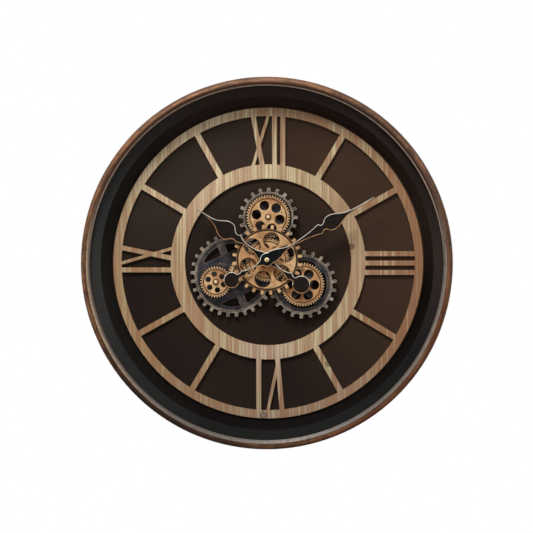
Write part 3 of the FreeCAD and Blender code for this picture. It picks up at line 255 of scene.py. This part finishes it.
def bead_look():
    """Sloping bead, brown paint above and rubbed to bare metal elsewhere, with painted light: a painted highlight
    near its inner edge, the paint above partly painted shade and the bare metal partly painted lit, painted shade at
    the right, painted light at the lower left, and darker towards the bottom.
    """
    look = Look("bead_bronze")
    fine = look.noise(130.0, 3.0, 0.6)
    x, z = look.axis(0), look.axis(2)
    share = look.span(look.reach(0, 0), bead_inner, bead_outer)
    # Brown paint, partly painted shade, with a painted highlight near the inner edge
    paint_and_shade = look.ramp(share, [
        (0.12, tone(34, 30, 28)), (0.27, tone(196, 174, 156)), (0.38, tone(104, 82, 68)), (0.50, tone(88, 58, 43)),
        (0.80, tone(104, 69, 50)), (0.95, tone(74, 52, 40))])
    # Bare metal, partly painted light
    bare_and_lit = look.ramp(share, [
        (0.12, tone(46, 41, 38)), (0.26, tone(100, 91, 84)), (0.45, tone(106, 100, 95)), (0.60, tone(124, 117, 110)),
        (0.80, tone(146, 126, 110)), (0.95, tone(92, 74, 62))])
    # Painted shade at the right
    shaded = look.both(look.span(x, 0.04, 0.18), look.span(share, 0.36, 0.46, 0.0, 0.6))
    paint_and_shade = look.mix(shaded, paint_and_shade, tone(38, 31, 30))
    colour = look.mix(look.span(z, 0.11, 0.0), paint_and_shade, bare_and_lit)
    # Painted light at the lower left
    lit_lower_left = look.both(look.span(x, -0.15, -0.27), look.span(z, 0.12, 0.02))
    colour = look.mix(look.both(lit_lower_left, look.span(share, 0.4, 0.6, 0.0, 0.7)), colour, tone(182, 152, 120))
    # Darker towards the bottom
    colour = look.mix(look.span(z, -0.10, -0.26, 0.0, 0.5), colour, tone(70, 64, 60))
    colour = look.mix(look.span(fine, 0.46, 0.62, 0.0, 0.35), colour, tone(70, 56, 47))
    return look.surface(colour, look.span(fine, 0.3, 0.7, 0.3, 0.45), 0.08, None, 0.15)


def liner_look():
    """Black satin sheet with a faint grain, painted with light and shade: its slope by the glass is painted lighter
    and greyer than its foot, both are painted lighter and browner above and lighter at the left, and the slope is
    painted darker at the right."""
    look = Look("liner_black")
    fine = look.noise(420.0, 2.0, 0.6)
    x, z = look.axis(0), look.axis(2)
    down = look.span(z, 0.02, -0.14)
    left = look.both(look.span(x, -0.10, -0.26), look.span(down, 0.0, 1.0, 1.0, 0.5))
    corner = look.both(look.span(x, 0.17, 0.24), look.span(z, 0.0, 0.1, 0.0, 0.7))
    # Painted light and shade: the slope lighter than the foot, both lighter towards the top and the left, the slope
    # darker at the right corner
    slope = look.mix(down, tone(56, 45, 42), tone(22, 22, 22))
    slope = look.mix(left, slope, tone(58, 58, 58))
    slope = look.mix(corner, slope, tone(34, 28, 26))
    foot = look.mix(look.span(z, 0.10, -0.04), tone(48, 36, 31), tone(9, 6, 6))
    foot = look.mix(left, foot, tone(36, 34, 33))
    colour = look.mix(look.span(look.reach(0, 0), liner_fold, liner_fold - 0.0015), slope, foot)
    colour = look.mix(look.span(fine, 0.35, 0.7, 0.0, 0.3), colour, tone(16, 14, 14))
    return look.surface(colour, 0.65, 0.0, look.bump(fine, 0.1, 0.0002), 0.05)


def glass_look():
    """Clear pane: it lets the dial through, with gloss at a slant."""
    look = Look("clear_glass")
    clear = look.add("ShaderNodeBsdfTransparent", {"Color": (0.985, 0.99, 0.985, 1.0)}).outputs[0]
    smear = look.span(look.noise(7.0, 2.0), 0.3, 0.7, 0.01, 0.04)
    gloss = look.add("ShaderNodeBsdfGlossy", {"Color": (1, 1, 1, 1), "Roughness": smear}).outputs[0]
    slant = look.add("ShaderNodeLayerWeight", {"Blend": 0.5}).outputs["Facing"]
    share = look.both(look.math("POWER", slant, 3.0), 0.25)
    shader = look.add("ShaderNodeMixShader", {0: share, 1: clear, 2: gloss}).outputs[0]
    look.tree.links.new(shader, look.out.inputs["Surface"])
    return look.mat


# Wood

knots = [  # x, z, radius and colour
    (-0.0075, -0.2460, 0.0048, tone(128, 118, 112)), (0.0965, -0.1625, 0.0040, tone(140, 120, 102)),
    (0.1352, 0.0265, 0.0042, tone(132, 100, 78))]


def pine_look():
    """Pale pine with upright grain, which runs straight through bands and bars."""
    look = Look("pine_pale")
    x, z = look.axis(0), look.axis(2)
    grain = look.noise(95.0, 3.0, 0.65, look.stretched(1.0, 1.0, 0.035))
    lines = look.noise(330.0, 2.0, 0.6, look.stretched(1.0, 1.0, 0.015))
    wide = look.noise(11.0, 2.0, 0.5, look.stretched(1.0, 1.0, 0.5))
    blush = look.noise(19.0, 2.0, 0.5, look.stretched(1.0, 1.0, 0.6))
    colour = look.ramp(grain, [
        (0.38, tone(134, 100, 76)), (0.45, tone(160, 128, 98)), (0.52, tone(182, 156, 122)),
        (0.60, tone(200, 188, 152))])
    colour = look.mix(look.span(lines, 0.46, 0.56, 0.0, 0.6), colour, tone(140, 100, 76))
    colour = look.mix(look.span(lines, 0.44, 0.38, 0.0, 0.5), colour, tone(206, 196, 160))
    colour = look.mix(look.span(blush, 0.48, 0.60, 0.0, 0.45), colour, tone(166, 128, 112))
    colour = look.mix(look.span(wide, 0.45, 0.58, 0.0, 0.45), colour, tone(160, 136, 100))

    # Lighter on the inner band, painted light at the upper left where the rim casts its shadow, darker at the top
    # right, and the sheet's colour from place to place
    inner = look.span(look.reach(0, 0), band_outer, band_outer - 0.008)
    up_left = look.both(look.span(x, 0.02, -0.12), look.span(z, 0.03, 0.14))
    low_left = look.both(look.span(x, -0.04, -0.12), look.span(z, 0.03, -0.05))
    high = look.both(look.span(z, 0.17, 0.25), look.span(x, -0.04, 0.08))
    colour = look.tint(colour, inner, 0.3, tone(220, 200, 166))
    # Painted light at the upper left, where the rim casts its shadow
    colour = look.tint(colour, up_left, 0.72, tone(238, 218, 184))
    colour = look.tint(colour, low_left, 0.35, tone(146, 106, 66))
    colour = look.mix(look.span(x, 0.12, 0.24, 0.0, 0.7), colour, tone(200, 158, 140), "MULTIPLY")
    colour = look.tint(colour, look.span(x, -0.10, -0.25), 0.2, tone(170, 132, 92))
    colour = look.tint(colour, look.span(z, -0.14, -0.25), 0.45, tone(140, 118, 106))
    colour = look.tint(colour, high, 0.45, tone(146, 112, 86))
    lilac = look.both(look.span(look.reach(-0.004, -0.138), 0.060, 0.020), look.span(grain, 0.40, 0.60, 0.3, 0.6))
    colour = look.mix(lilac, colour, tone(196, 172, 162))

    # Grain lines that stay over those colours, knots, and painted shade along the ring's edges
    colour = look.mix(look.span(lines, 0.47, 0.57, 0.0, 0.5), colour, tone(152, 108, 80))
    colour = look.mix(look.span(grain, 0.46, 0.40, 0.0, 0.4), colour, tone(168, 124, 96))
    for knot_x, knot_z, size, shade in knots:
        reach = look.reach(knot_x, knot_z)
        colour = look.mix(look.span(reach, size * 1.15, size * 0.75), colour, shade)
        edge = look.both(look.span(reach, size * 1.3, size), look.span(reach, size * 0.7, size * 0.9))
        colour = look.tint(colour, edge, 0.8, tone(92, 66, 50))
    # Painted shade along the ring's edges
    colour = look.tint(colour, look.edges(0.0010), 0.6, tone(96, 68, 52))
    return look.surface(colour, 0.62, 0.0, look.bump(lines, 0.12, 0.0003), 0.12)


def board_look(rear_face):
    """Fibreboard with a dark brown, faintly felted front, paler to the right and the upper left, and a raw back."""
    look = Look("board_brown")
    fine = look.noise(520.0, 2.0, 0.7)
    broad = look.noise(7.0, 2.0, 0.5)
    x, z = look.axis(0), look.axis(2)
    reach = look.reach(0, 0)
    colour = look.mix(look.span(broad, 0.35, 0.65), tone(34, 26, 23), tone(42, 32, 27))
    colour = look.mix(look.span(fine, 0.35, 0.7, 0.0, 0.4), colour, tone(46, 36, 32))
    up_right = look.both(look.span(look.along(30), -0.06, 0.16, 0.0, 0.9), look.span(reach, 0.10, 0.16, 0.5, 1.0))
    colour = look.mix(up_right, colour, tone(66, 49, 39))
    up_left = look.both(look.span(x, 0.04, -0.06), look.span(z, -0.02, 0.08))
    up_left = look.both(up_left, look.span(reach, 0.13, 0.16, 0.3, 0.8))
    colour = look.mix(up_left, colour, tone(56, 46, 40))
    raw = look.mix(look.span(fine, 0.4, 0.65), tone(150, 122, 92), tone(122, 96, 70))
    raw = look.mix(look.span(broad, 0.4, 0.6, 0.0, 0.4), raw, tone(136, 106, 78))
    colour = look.mix(look.span(look.axis(1), rear_face - 0.0012, rear_face - 0.0008), colour, raw)
    return look.surface(colour, 0.85, 0.0, look.bump(fine, 0.15, 0.0002), 0.04)


def cleat_look():
    look = Look("cleat_pine")
    grain = look.noise(200.0, 3.0, 0.6, look.stretched(1.0, 0.1, 1.0))
    colour = look.ramp(grain, [(0.35, tone(170, 132, 92)), (0.65, tone(206, 172, 128))])
    return look.surface(colour, 0.7, 0.0, look.bump(grain, 0.2, 0.0003), 0.3)


# Gears

def gold_look(name, centre, front, groove, root, groove_tone=tone(84, 55, 39), groove_half=0.0015, teeth_light=0.75,
              copper=0.0, copper_rise=0.0, shadow_of_front=True):
    """Dry-brushed gold paint over brown, darker in grooves, round holes and between teeth; the brown sides below the
    front face are partly painted shade, and the dark tooth flanks are painted shade. A share of copper shows below a
    height over the gear's axis, and on the centre gear this copper is also painted shade of the front gear. A gear
    that asks for it gets a painted shadow of the front gear where it meshes with the centre gear."""
    look = Look(name)
    patches = look.noise(48.0, 3.0, 0.6)
    fine = look.noise(420.0, 3.0, 0.65)
    colour = look.ramp(patches, [
        (0.38, tone(176, 128, 88)), (0.50, tone(202, 156, 112)), (0.60, tone(216, 176, 132))])
    colour = look.mix(look.span(fine, 0.50, 0.66, 0.0, 0.45), colour, tone(150, 104, 70))
    reach = look.reach(centre.x, centre.z)
    # Brown on the sides and hollows below the front face, partly painted shade
    below = look.span(look.depth(), front - 0.0001, front - 0.0005)
    colour = look.tint(colour, below, 0.95, tone(60, 38, 26))
    teeth = look.span(reach, root - 0.0004, root + 0.0004)
    colour = look.tint(colour, teeth, look.span(below, 0.0, 1.0, teeth_light, 0.0), tone(232, 196, 150))
    outline = look.both(look.edges(0.0017), look.span(teeth, 0.0, 1.0, 0.85, 0.0))
    colour = look.mix(outline, colour, tone(70, 44, 30))
    # Painted shade on the tooth flanks, for the dark gaps between teeth
    flanks = look.both(look.edges(0.0007), look.span(teeth, 0.0, 1.0, 0.0, 0.8))
    colour = look.mix(flanks, colour, tone(52, 34, 25))
    colour = look.tint(colour, look.ring(reach, groove, groove_half, groove_half - 0.0009), 0.9, groove_tone)
    colour = look.tint(colour, look.ring(reach, root, 0.0009, 0.0004), 0.55, tone(78, 50, 36))
    # Copper tone below a height over the axis; on the centre gear it is also painted shade of the front gear
    if copper:
        lower = look.span(look.axis(2), centre.z + copper_rise, centre.z + copper_rise - 0.016)
        inside = look.both(lower, look.span(reach, 0.0325, 0.0180))
        colour = look.tint(colour, inside, copper, tone(180, 106, 60))
    if shadow_of_front:
        # Painted shadow of the front gear where this gear meshes with the centre gear
        front_gear_shade = look.span(look.reach(hub.x, hub.z), 0.0380, 0.0372)
        colour = look.tint(colour, front_gear_shade, 0.8, tone(48, 34, 27))
    return look.surface(colour, look.span(fine, 0.3, 0.7, 0.5, 0.65), 0.03, look.bump(fine, 0.12, 0.0002), 0.12)


def grey_look(name, centre, front, sink, rim, root, gold_centre, gold_root, gold_tip, spokes=None):
    """Weathered dark grey: pale brushed teeth and rim, a blue-grey web with brown rub marks, and painted shadow on
    the web under the gold teeth. The web's spokes, where their angle is given, are paler."""
    look = Look(name)
    patches = look.noise(60.0, 3.0, 0.6)
    fine = look.noise(360.0, 3.0, 0.65)
    strokes = look.noise(110.0, 3.0, 0.6, look.stretched(0.3, 1.0, 1.0))
    web = look.ramp(patches, [(0.38, tone(36, 37, 43)), (0.54, tone(52, 51, 56)), (0.66, tone(76, 64, 60))])
    web = look.mix(look.span(strokes, 0.54, 0.68, 0.0, 0.5), web, tone(112, 94, 84))
    teeth = look.ramp(patches, [
        (0.38, tone(110, 96, 88)), (0.52, tone(148, 132, 118)), (0.62, tone(178, 162, 146))])
    teeth = look.mix(look.span(fine, 0.47, 0.60, 0.0, 0.8), teeth, tone(58, 50, 48))
    if spokes is not None:
        aside = look.math("ABSOLUTE", look.along(spokes - 90, centre))
        along = look.math("ABSOLUTE", look.along(spokes, centre))
        on_spoke = look.both(look.span(aside, spoke_half, spoke_half - 0.0012), look.span(along, 0.033, 0.038))
        web = look.tint(web, on_spoke, 0.8, look.mix(
            look.span(fine, 0.42, 0.6), tone(112, 100, 94), tone(66, 60, 60)))
    reach = look.reach(centre.x, centre.z)
    outer = look.span(reach, rim - 0.0001, rim + 0.0003)
    under = look.reach(gold_centre.x, gold_centre.z)
    # Painted shadow of the gold gear's teeth on the web
    gold_teeth_shadow = look.both(look.span(under, gold_root - 0.002, gold_root), look.span(under, gold_tip + 0.0014, gold_tip))
    web = look.tint(web, gold_teeth_shadow, 0.9, tone(20, 16, 15))
    band = look.mix(look.span(reach, root + 0.0005, root - 0.0015, 0.0, 0.35), teeth, tone(78, 68, 64))
    colour = look.mix(outer, web, band)
    colour = look.tint(colour, look.ring(reach, rim, 0.0013, 0.0004), 0.8, tone(24, 20, 20))
    low_face = front - sink
    colour = look.tint(colour, look.span(look.depth(), low_face - 0.0002, low_face - 0.0006), 0.8, tone(30, 26, 27))
    rub = look.both(look.edges(0.0020), look.span(patches, 0.36, 0.56, 0.3, 0.85))
    colour = look.mix(rub, colour, look.mix(outer, tone(146, 128, 118), tone(184, 166, 152)))
    return look.surface(colour, 0.62, 0.05, look.bump(fine, 0.2, 0.0003), 0.2)


# Small parts

def brass_look(name, light, dark):
    look = Look(name)
    fine = look.noise(500.0, 2.0, 0.6)
    colour = look.mix(look.span(fine, 0.35, 0.7), light, dark)
    colour = look.tint(colour, look.edges(0.0012), 0.75, tone(84, 56, 38))
    return look.surface(colour, look.span(fine, 0.3, 0.7, 0.38, 0.52), 0.5, look.bump(fine, 0.05, 0.0001))


def cap_look(node, rings):
    """Brass button in rings of colour, from its middle to its edge; the nut's rings hold a painted highlight."""
    low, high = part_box(node)
    middle = (Vector(low) + Vector(high)) / 2
    radius = (high[0] - low[0]) / 2
    look = Look(f"button_{node}")
    fine = look.noise(500.0, 2.0, 0.6)
    colour = look.ramp(look.math("DIVIDE", look.reach(middle.x, middle.z), radius), rings)
    colour = look.mix(look.span(fine, 0.5, 0.7, 0.0, 0.35), colour, tone(150, 108, 72))
    return look.surface(colour, look.span(fine, 0.3, 0.7, 0.4, 0.55), 0.2, look.bump(fine, 0.05, 0.0001), 0.3)


def steel_look():
    look = Look("zinc_steel")
    fine = look.noise(400.0, 3.0, 0.6, look.stretched(1.0, 0.15, 1.0))
    colour = look.mix(look.span(fine, 0.35, 0.7), tone(196, 196, 190), tone(150, 148, 142))
    return look.surface(colour, look.span(fine, 0.3, 0.7, 0.27, 0.45), 0.95)


def plastic_look(name, light, dark, rough):
    look = Look(name)
    fine = look.noise(700.0, 2.0, 0.6)
    colour = look.mix(look.span(fine, 0.3, 0.7), light, dark)
    return look.surface(colour, rough, 0.0, look.bump(fine, 0.12, 0.0001), 0.35)


def hand_look():
    """Matt dark lacquer, blacker towards the boss."""
    look = Look("hand_black")
    fine = look.noise(500.0, 2.0, 0.6)
    colour = look.mix(look.span(fine, 0.3, 0.7), tone(28, 22, 20), tone(36, 28, 26))
    colour = look.mix(look.span(look.reach(hub.x, hub.z), 0.055, 0.020), colour, tone(15, 17, 19))
    return look.surface(colour, 0.6, 0.0, None, 0.05)


def line_look(name, light, dark):
    look = Look(name)
    fine = look.noise(160.0, 3.0, 0.6)
    colour = look.mix(look.span(fine, 0.36, 0.62), light, dark)
    return look.surface(colour, 0.5, 0.1, None, 0.2)


def coil_look():
    look = Look("coil_copper")
    wave = look.add("ShaderNodeTexWave", {
        "Vector": look.coords, "Scale": 900.0, "Distortion": 0.4, "Detail": 1.0},
        wave_type="BANDS", bands_direction="Z").outputs["Fac"]
    colour = look.mix(wave, tone(120, 62, 34), tone(206, 124, 74))
    return look.surface(colour, 0.3, 0.8, look.bump(wave, 0.4, 0.0002))


def cell_look():
    """Plain metal cell with a darker sleeve."""
    look = Look("cell_wrap")
    fine = look.noise(300.0, 2.0, 0.6)
    away = look.math("ABSOLUTE", look.math("ADD", look.axis(0), cell_middle))
    colour = look.mix(look.span(away, cell_sleeve, cell_sleeve - 0.0002), tone(176, 176, 172), tone(58, 64, 72))
    colour = look.mix(look.span(fine, 0.3, 0.7, 0.0, 0.2), colour, tone(90, 94, 98))
    return look.surface(colour, 0.3, 0.7)


def circuit_look():
    look = Look("board_green")
    fine = look.noise(300.0, 2.0, 0.5)
    tracks = look.add("ShaderNodeTexBrick", {
        "Vector": look.coords, "Scale": 160.0, "Color1": tone(24, 84, 50), "Color2": tone(28, 96, 58),
        "Mortar": tone(60, 130, 84), "Mortar Size": 0.03}).outputs["Color"]
    colour = look.mix(look.span(fine, 0.3, 0.7, 0.0, 0.4), tracks, tone(16, 66, 40))
    return look.surface(colour, 0.4, 0.0, None, 0.5)


# Every node gets its look

def dress(look, *names):
    for name in names:
        mesh = nodes[name].data
        mesh.materials.clear()
        mesh.materials.append(look)


dress(rim_look(), "case_rim")
dress(bead_look(), "glass_bead")
dress(liner_look(), "dial_liner")
dress(glass_look(), "glass_pane")
dress(plastic_look("seal_black", tone(24, 24, 24), tone(34, 34, 34), 0.8), "glass_seal")
dress(board_look(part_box("dial_board")[1][1]), "dial_board")
dress(pine_look(), "numeral_ring")
dress(cleat_look(), "board_cleats")

fine_front = front_of("top_gold_gear")
dress(gold_look("gold_front", hub, front_of("front_gear"), front_groove, front_root, tone(46, 29, 20), 0.0020,
                teeth_light=0.1, copper=0.6, copper_rise=0.004, shadow_of_front=False), "front_gear")
# The centre gear's copper is also painted shade of the front gear
dress(gold_look("gold_centre", hub, fine_front, fine_groove, fine_root, copper=0.7, copper_rise=0.030, shadow_of_front=False),
      "centre_fine_gear")
# The top, right, small and idler gears get the painted shadow of the front gear
dress(gold_look("gold_top", top, fine_front, fine_groove, fine_root), "top_gold_gear")
dress(gold_look("gold_right", right, fine_front, fine_groove, fine_root, copper=0.5, copper_rise=0.020),
      "right_gold_gear")
dress(gold_look("gold_small", small, fine_front, small_groove, small_root), "small_gold_gear")
dress(gold_look("gold_idler", idler, fine_front, idler_groove, idler_root), "idler_gear")
grey_front = front_of("top_grey_gear")
dress(grey_look("grey_top", top, grey_front, grey_sink, top_rim, top_root, top, fine_root, fine_tip),
      "top_grey_gear")
dress(grey_look("grey_right", right, grey_front, grey_sink, right_rim, right_root, right, fine_root, fine_tip),
      "right_grey_gear")
plate_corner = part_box("left_plate")[0]
plate_centre = Vector((plate_corner[0] + plate_tip, 0, plate_corner[2] + plate_tip))
dress(grey_look("grey_plate", plate_centre, front_of("left_plate"), plate_sink, plate_rim, plate_root, small,
                small_root, small_tip, spoke_angle), "left_plate")

button_rings = [
    (0.30, tone(240, 212, 164)), (0.52, tone(206, 164, 116)), (0.68, tone(84, 56, 38)), (0.95, tone(92, 62, 44))]
# The nut's near-white rings are a painted highlight on its brass
nut_highlight_rings = [
    (0.34, tone(206, 144, 24)), (0.48, tone(250, 242, 204)), (0.72, tone(240, 230, 194)), (0.88, tone(96, 84, 52))]
for cap in ("small_gear_cap", "right_cap", "top_cap", "idler_cap"):
    dress(cap_look(cap, button_rings), cap)
dress(cap_look("hand_nut", nut_highlight_rings), "hand_nut")
dress(hand_look(), "hour_hand", "minute_hand")

dress(brass_look("bronze_screw", tone(132, 104, 78), tone(84, 62, 46)), "plate_screws")
dress(brass_look("brass", tone(214, 170, 104), tone(138, 94, 52)),
      "plate_standoffs", "idler_pin", "small_gear_pin", "right_post", "right_post_nut", "centre_sleeve",
      "centre_spacer", "movement_stem", "stem_nut", "drive_pinion")
dress(steel_look(), "case_screws", "board_screws", "hanger_plate", "hanger_rivets", "output_shaft", "stem_clip",
      "stem_washer", "minute_arbor", "drive_screws", "drive_motor", "cell_contacts")
dress(plastic_look("module_black", tone(30, 30, 32), tone(42, 42, 44), 0.55),
      "movement_case", "movement_cover", "drive_case", "drive_cover")
dress(plastic_look("white_plastic", tone(224, 220, 206), tone(208, 202, 188), 0.45),
      "top_spacer", "right_spacer", "minute_wheel", "hour_wheel", "setting_knob", "drive_wheel")
dress(coil_look(), "step_motor")
dress(circuit_look(), "circuit_board")
dress(cell_look(), "cells")


# Bright lines along the edges of the hands, painted highlights that are silver and lit where they face up and copper
# and shaded where they face down; sizes in metres

line_width = 0.0010
line_height = 0.0004
line_steps = 4
# Widths near the tip of the painted lit silver and the painted shaded copper
lit_tip = 0.9
shaded_tip = 0.2
shortest_outline = 0.05
closest_points = 0.0004
hour_tip_from = 0.120
minute_tip_from = 0.186


def outline_loops(mesh, front):
    """Closed loops round the flat front face of a mesh, each a list of points."""
    work = bmesh.new()
    work.from_mesh(mesh)
    bmesh.ops.remove_doubles(work, verts=work.verts, dist=1e-6)
    work.verts.index_update()
    for face in work.faces:
        face.tag = face.normal.y < -0.99 and abs(face.calc_center_median().y - front) < 1e-4
    after = {}
    for face in work.faces:
        for loop in face.loops:
            if face.tag and sum(other.tag for other in loop.edge.link_faces) == 1:
                after.setdefault(loop.vert.index, []).append(loop.link_loop_next.vert.index)
    points = {vert.index: vert.co.copy() for vert in work.verts}
    work.free()
    loops = []
    while after:
        start = next(iter(after))
        path = [start]
        here = start
        while here in after:
            step = after[here].pop()
            if not after[here]:
                del after[here]
            if step == start:
                break
            path.append(step)
            here = step
        loops.append([points[index] for index in path])
    return loops


def edge_line(name, node, body, tip_from):
    """A rounded bright line along a hand's outline, a painted highlight: silver, painted lit, where it faces up, and
    copper, painted shade, where it faces down. Both are slimmer towards the tip, the copper one most, where the hand
    itself shows below the silver one."""
    work = bmesh.new()
    for path in outline_loops(nodes[node].data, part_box(node)[0][1]):
        length = sum((a - b).length for a, b in zip(path, path[1:] + path[:1]))
        if length < shortest_outline:
            continue
        clean = [path[0]]
        for point in path[1:]:
            if (point - clean[-1]).length > closest_points:
                clean.append(point)
        count = len(clean)
        rows = []
        for index, point in enumerate(clean):
            ahead = (clean[(index + 1) % count] - point).normalized()
            behind = (point - clean[index - 1]).normalized()
            run = (ahead + behind).normalized()
            out = Vector((run.z, 0, -run.x))
            width = line_width
            if math.hypot(point.x - hub.x, point.z - hub.z) > tip_from:
                width *= shaded_tip if out.z <= 0 else lit_tip
            row = []
            for step in range(line_steps + 1):
                turn = math.pi * step / line_steps
                inset = width * (0.5 - 0.5 * math.cos(turn))
                rise = line_height * math.sin(turn)
                row.append(work.verts.new(point - out * inset + Vector((0, -rise, 0))))
            rows.append((row, out))
        for index in range(count):
            row, out = rows[index]
            following = rows[(index + 1) % count][0]
            for step in range(line_steps):
                face = work.faces.new((row[step], following[step], following[step + 1], row[step + 1]))
                # Painted light by facing: lit silver where the line faces up, shaded copper where it faces down
                face.material_index = 0 if out.z > 0 else 1
                face.smooth = True
    mesh = bpy.data.meshes.new(name)
    work.normal_update()
    work.to_mesh(mesh)
    work.free()
    piece = bpy.data.objects.new(name, mesh)
    bpy.context.scene.collection.objects.link(piece)
    mesh.materials.append(lit_edge_line)
    mesh.materials.append(shaded_edge_line)
    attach(piece, body)


# Painted highlight colours: lit silver and shaded copper
lit_edge_line = line_look("line_silver_lit", tone(246, 240, 228), tone(206, 198, 188))
shaded_edge_line = line_look("line_copper_shaded", tone(206, 156, 108), tone(150, 106, 72))
edge_line("hour_hand_line", "hour_hand", "hour", hour_tip_from)
edge_line("minute_hand_line", "minute_hand", "minute", minute_tip_from)


# Floor, light and camera

floor_level = -0.62
floor_half = 4.0
world_strength = 0.22
pixels_across = 533
pixel_size = 1.6103e-3
camera_distance = 12.0
camera_turn = math.radians(4.0)
sensor_width = 36.0


def floor_look():
    """Pale to the camera, and darker to the light that bounces off it."""
    look = Look("floor_pale")
    pale = (0.82, 0.82, 0.81, 1.0)
    fine = look.noise(20.0, 2.0, 0.5)
    tint = look.mix(fine, pale, tuple(value * 0.97 for value in pale[:3]) + (1.0,))
    seen = look.add("ShaderNodeLightPath").outputs["Is Camera Ray"]
    tint = look.mix(seen, (0.3, 0.3, 0.3, 1.0), tint)
    return look.surface(tint, 0.9, 0.0, None, 0.1)


def floor():
    work = bmesh.new()
    bmesh.ops.create_grid(work, x_segments=4, y_segments=4, size=floor_half)
    mesh = bpy.data.meshes.new("floor")
    work.to_mesh(mesh)
    work.free()
    piece = bpy.data.objects.new("floor", mesh)
    piece.location = (0, 0, floor_level)
    bpy.context.scene.collection.objects.link(piece)
    mesh.materials.append(floor_look())


def lamp(name, place, size, power, colour=(1, 1, 1)):
    """A round lamp that faces the middle of the clock's back."""
    light = bpy.data.lights.new(name, "AREA")
    light.shape = "DISK"
    light.size = size
    light.energy = power
    light.color = colour
    piece = bpy.data.objects.new(name, light)
    piece.location = place
    piece.rotation_euler = (-Vector(place)).to_track_quat("-Z", "Y").to_euler()
    bpy.context.scene.collection.objects.link(piece)


def world_light(level, tint):
    """White to the camera and in reflections, and a soft even light on the object."""
    world = bpy.data.worlds.new("studio")
    bpy.context.scene.world = world
    world.use_nodes = True
    tree = world.node_tree
    tree.nodes.clear()
    path = tree.nodes.new("ShaderNodeLightPath")
    through = tree.nodes.new("ShaderNodeMath")
    through.operation = "MAXIMUM"
    tree.links.new(path.outputs["Is Camera Ray"], through.inputs[0])
    tree.links.new(path.outputs["Is Transmission Ray"], through.inputs[1])
    seen = tree.nodes.new("ShaderNodeMath")
    seen.operation = "MAXIMUM"
    tree.links.new(path.outputs["Is Glossy Ray"], seen.inputs[0])
    tree.links.new(through.outputs[0], seen.inputs[1])
    soft = tree.nodes.new("ShaderNodeBackground")
    soft.inputs["Color"].default_value = tint
    soft.inputs["Strength"].default_value = level
    white = tree.nodes.new("ShaderNodeBackground")
    white.inputs["Color"].default_value = (1, 1, 1, 1)
    white.inputs["Strength"].default_value = 1.0
    mix = tree.nodes.new("ShaderNodeMixShader")
    out = tree.nodes.new("ShaderNodeOutputWorld")
    tree.links.new(seen.outputs[0], mix.inputs[0])
    tree.links.new(soft.outputs[0], mix.inputs[1])
    tree.links.new(white.outputs[0], mix.inputs[2])
    tree.links.new(mix.outputs[0], out.inputs["Surface"])


floor()
world_light(world_strength, (1.0, 0.99, 0.97, 1.0))
lamp("key", (-0.7, -1.7, 2.7), 1.2, 126, (1.0, 0.985, 0.96))
lamp("fill", (1.6, -3.0, 0.6), 2.0, 20)

target = Vector((-0.0003, -0.066, -0.0056))
camera_data = bpy.data.cameras.new("camera")
camera_data.sensor_width = sensor_width
camera_data.lens = sensor_width * camera_distance / (pixel_size * pixels_across)
camera_data.clip_end = 50.0
camera = bpy.data.objects.new("camera", camera_data)
camera.location = target + Vector((math.sin(camera_turn), -math.cos(camera_turn), 0)) * camera_distance
camera.rotation_euler = (target - camera.location).to_track_quat("-Z", "Y").to_euler()
bpy.context.scene.collection.objects.link(camera)
bpy.context.scene.camera = camera
bpy.context.scene.view_settings.view_transform = "Standard"
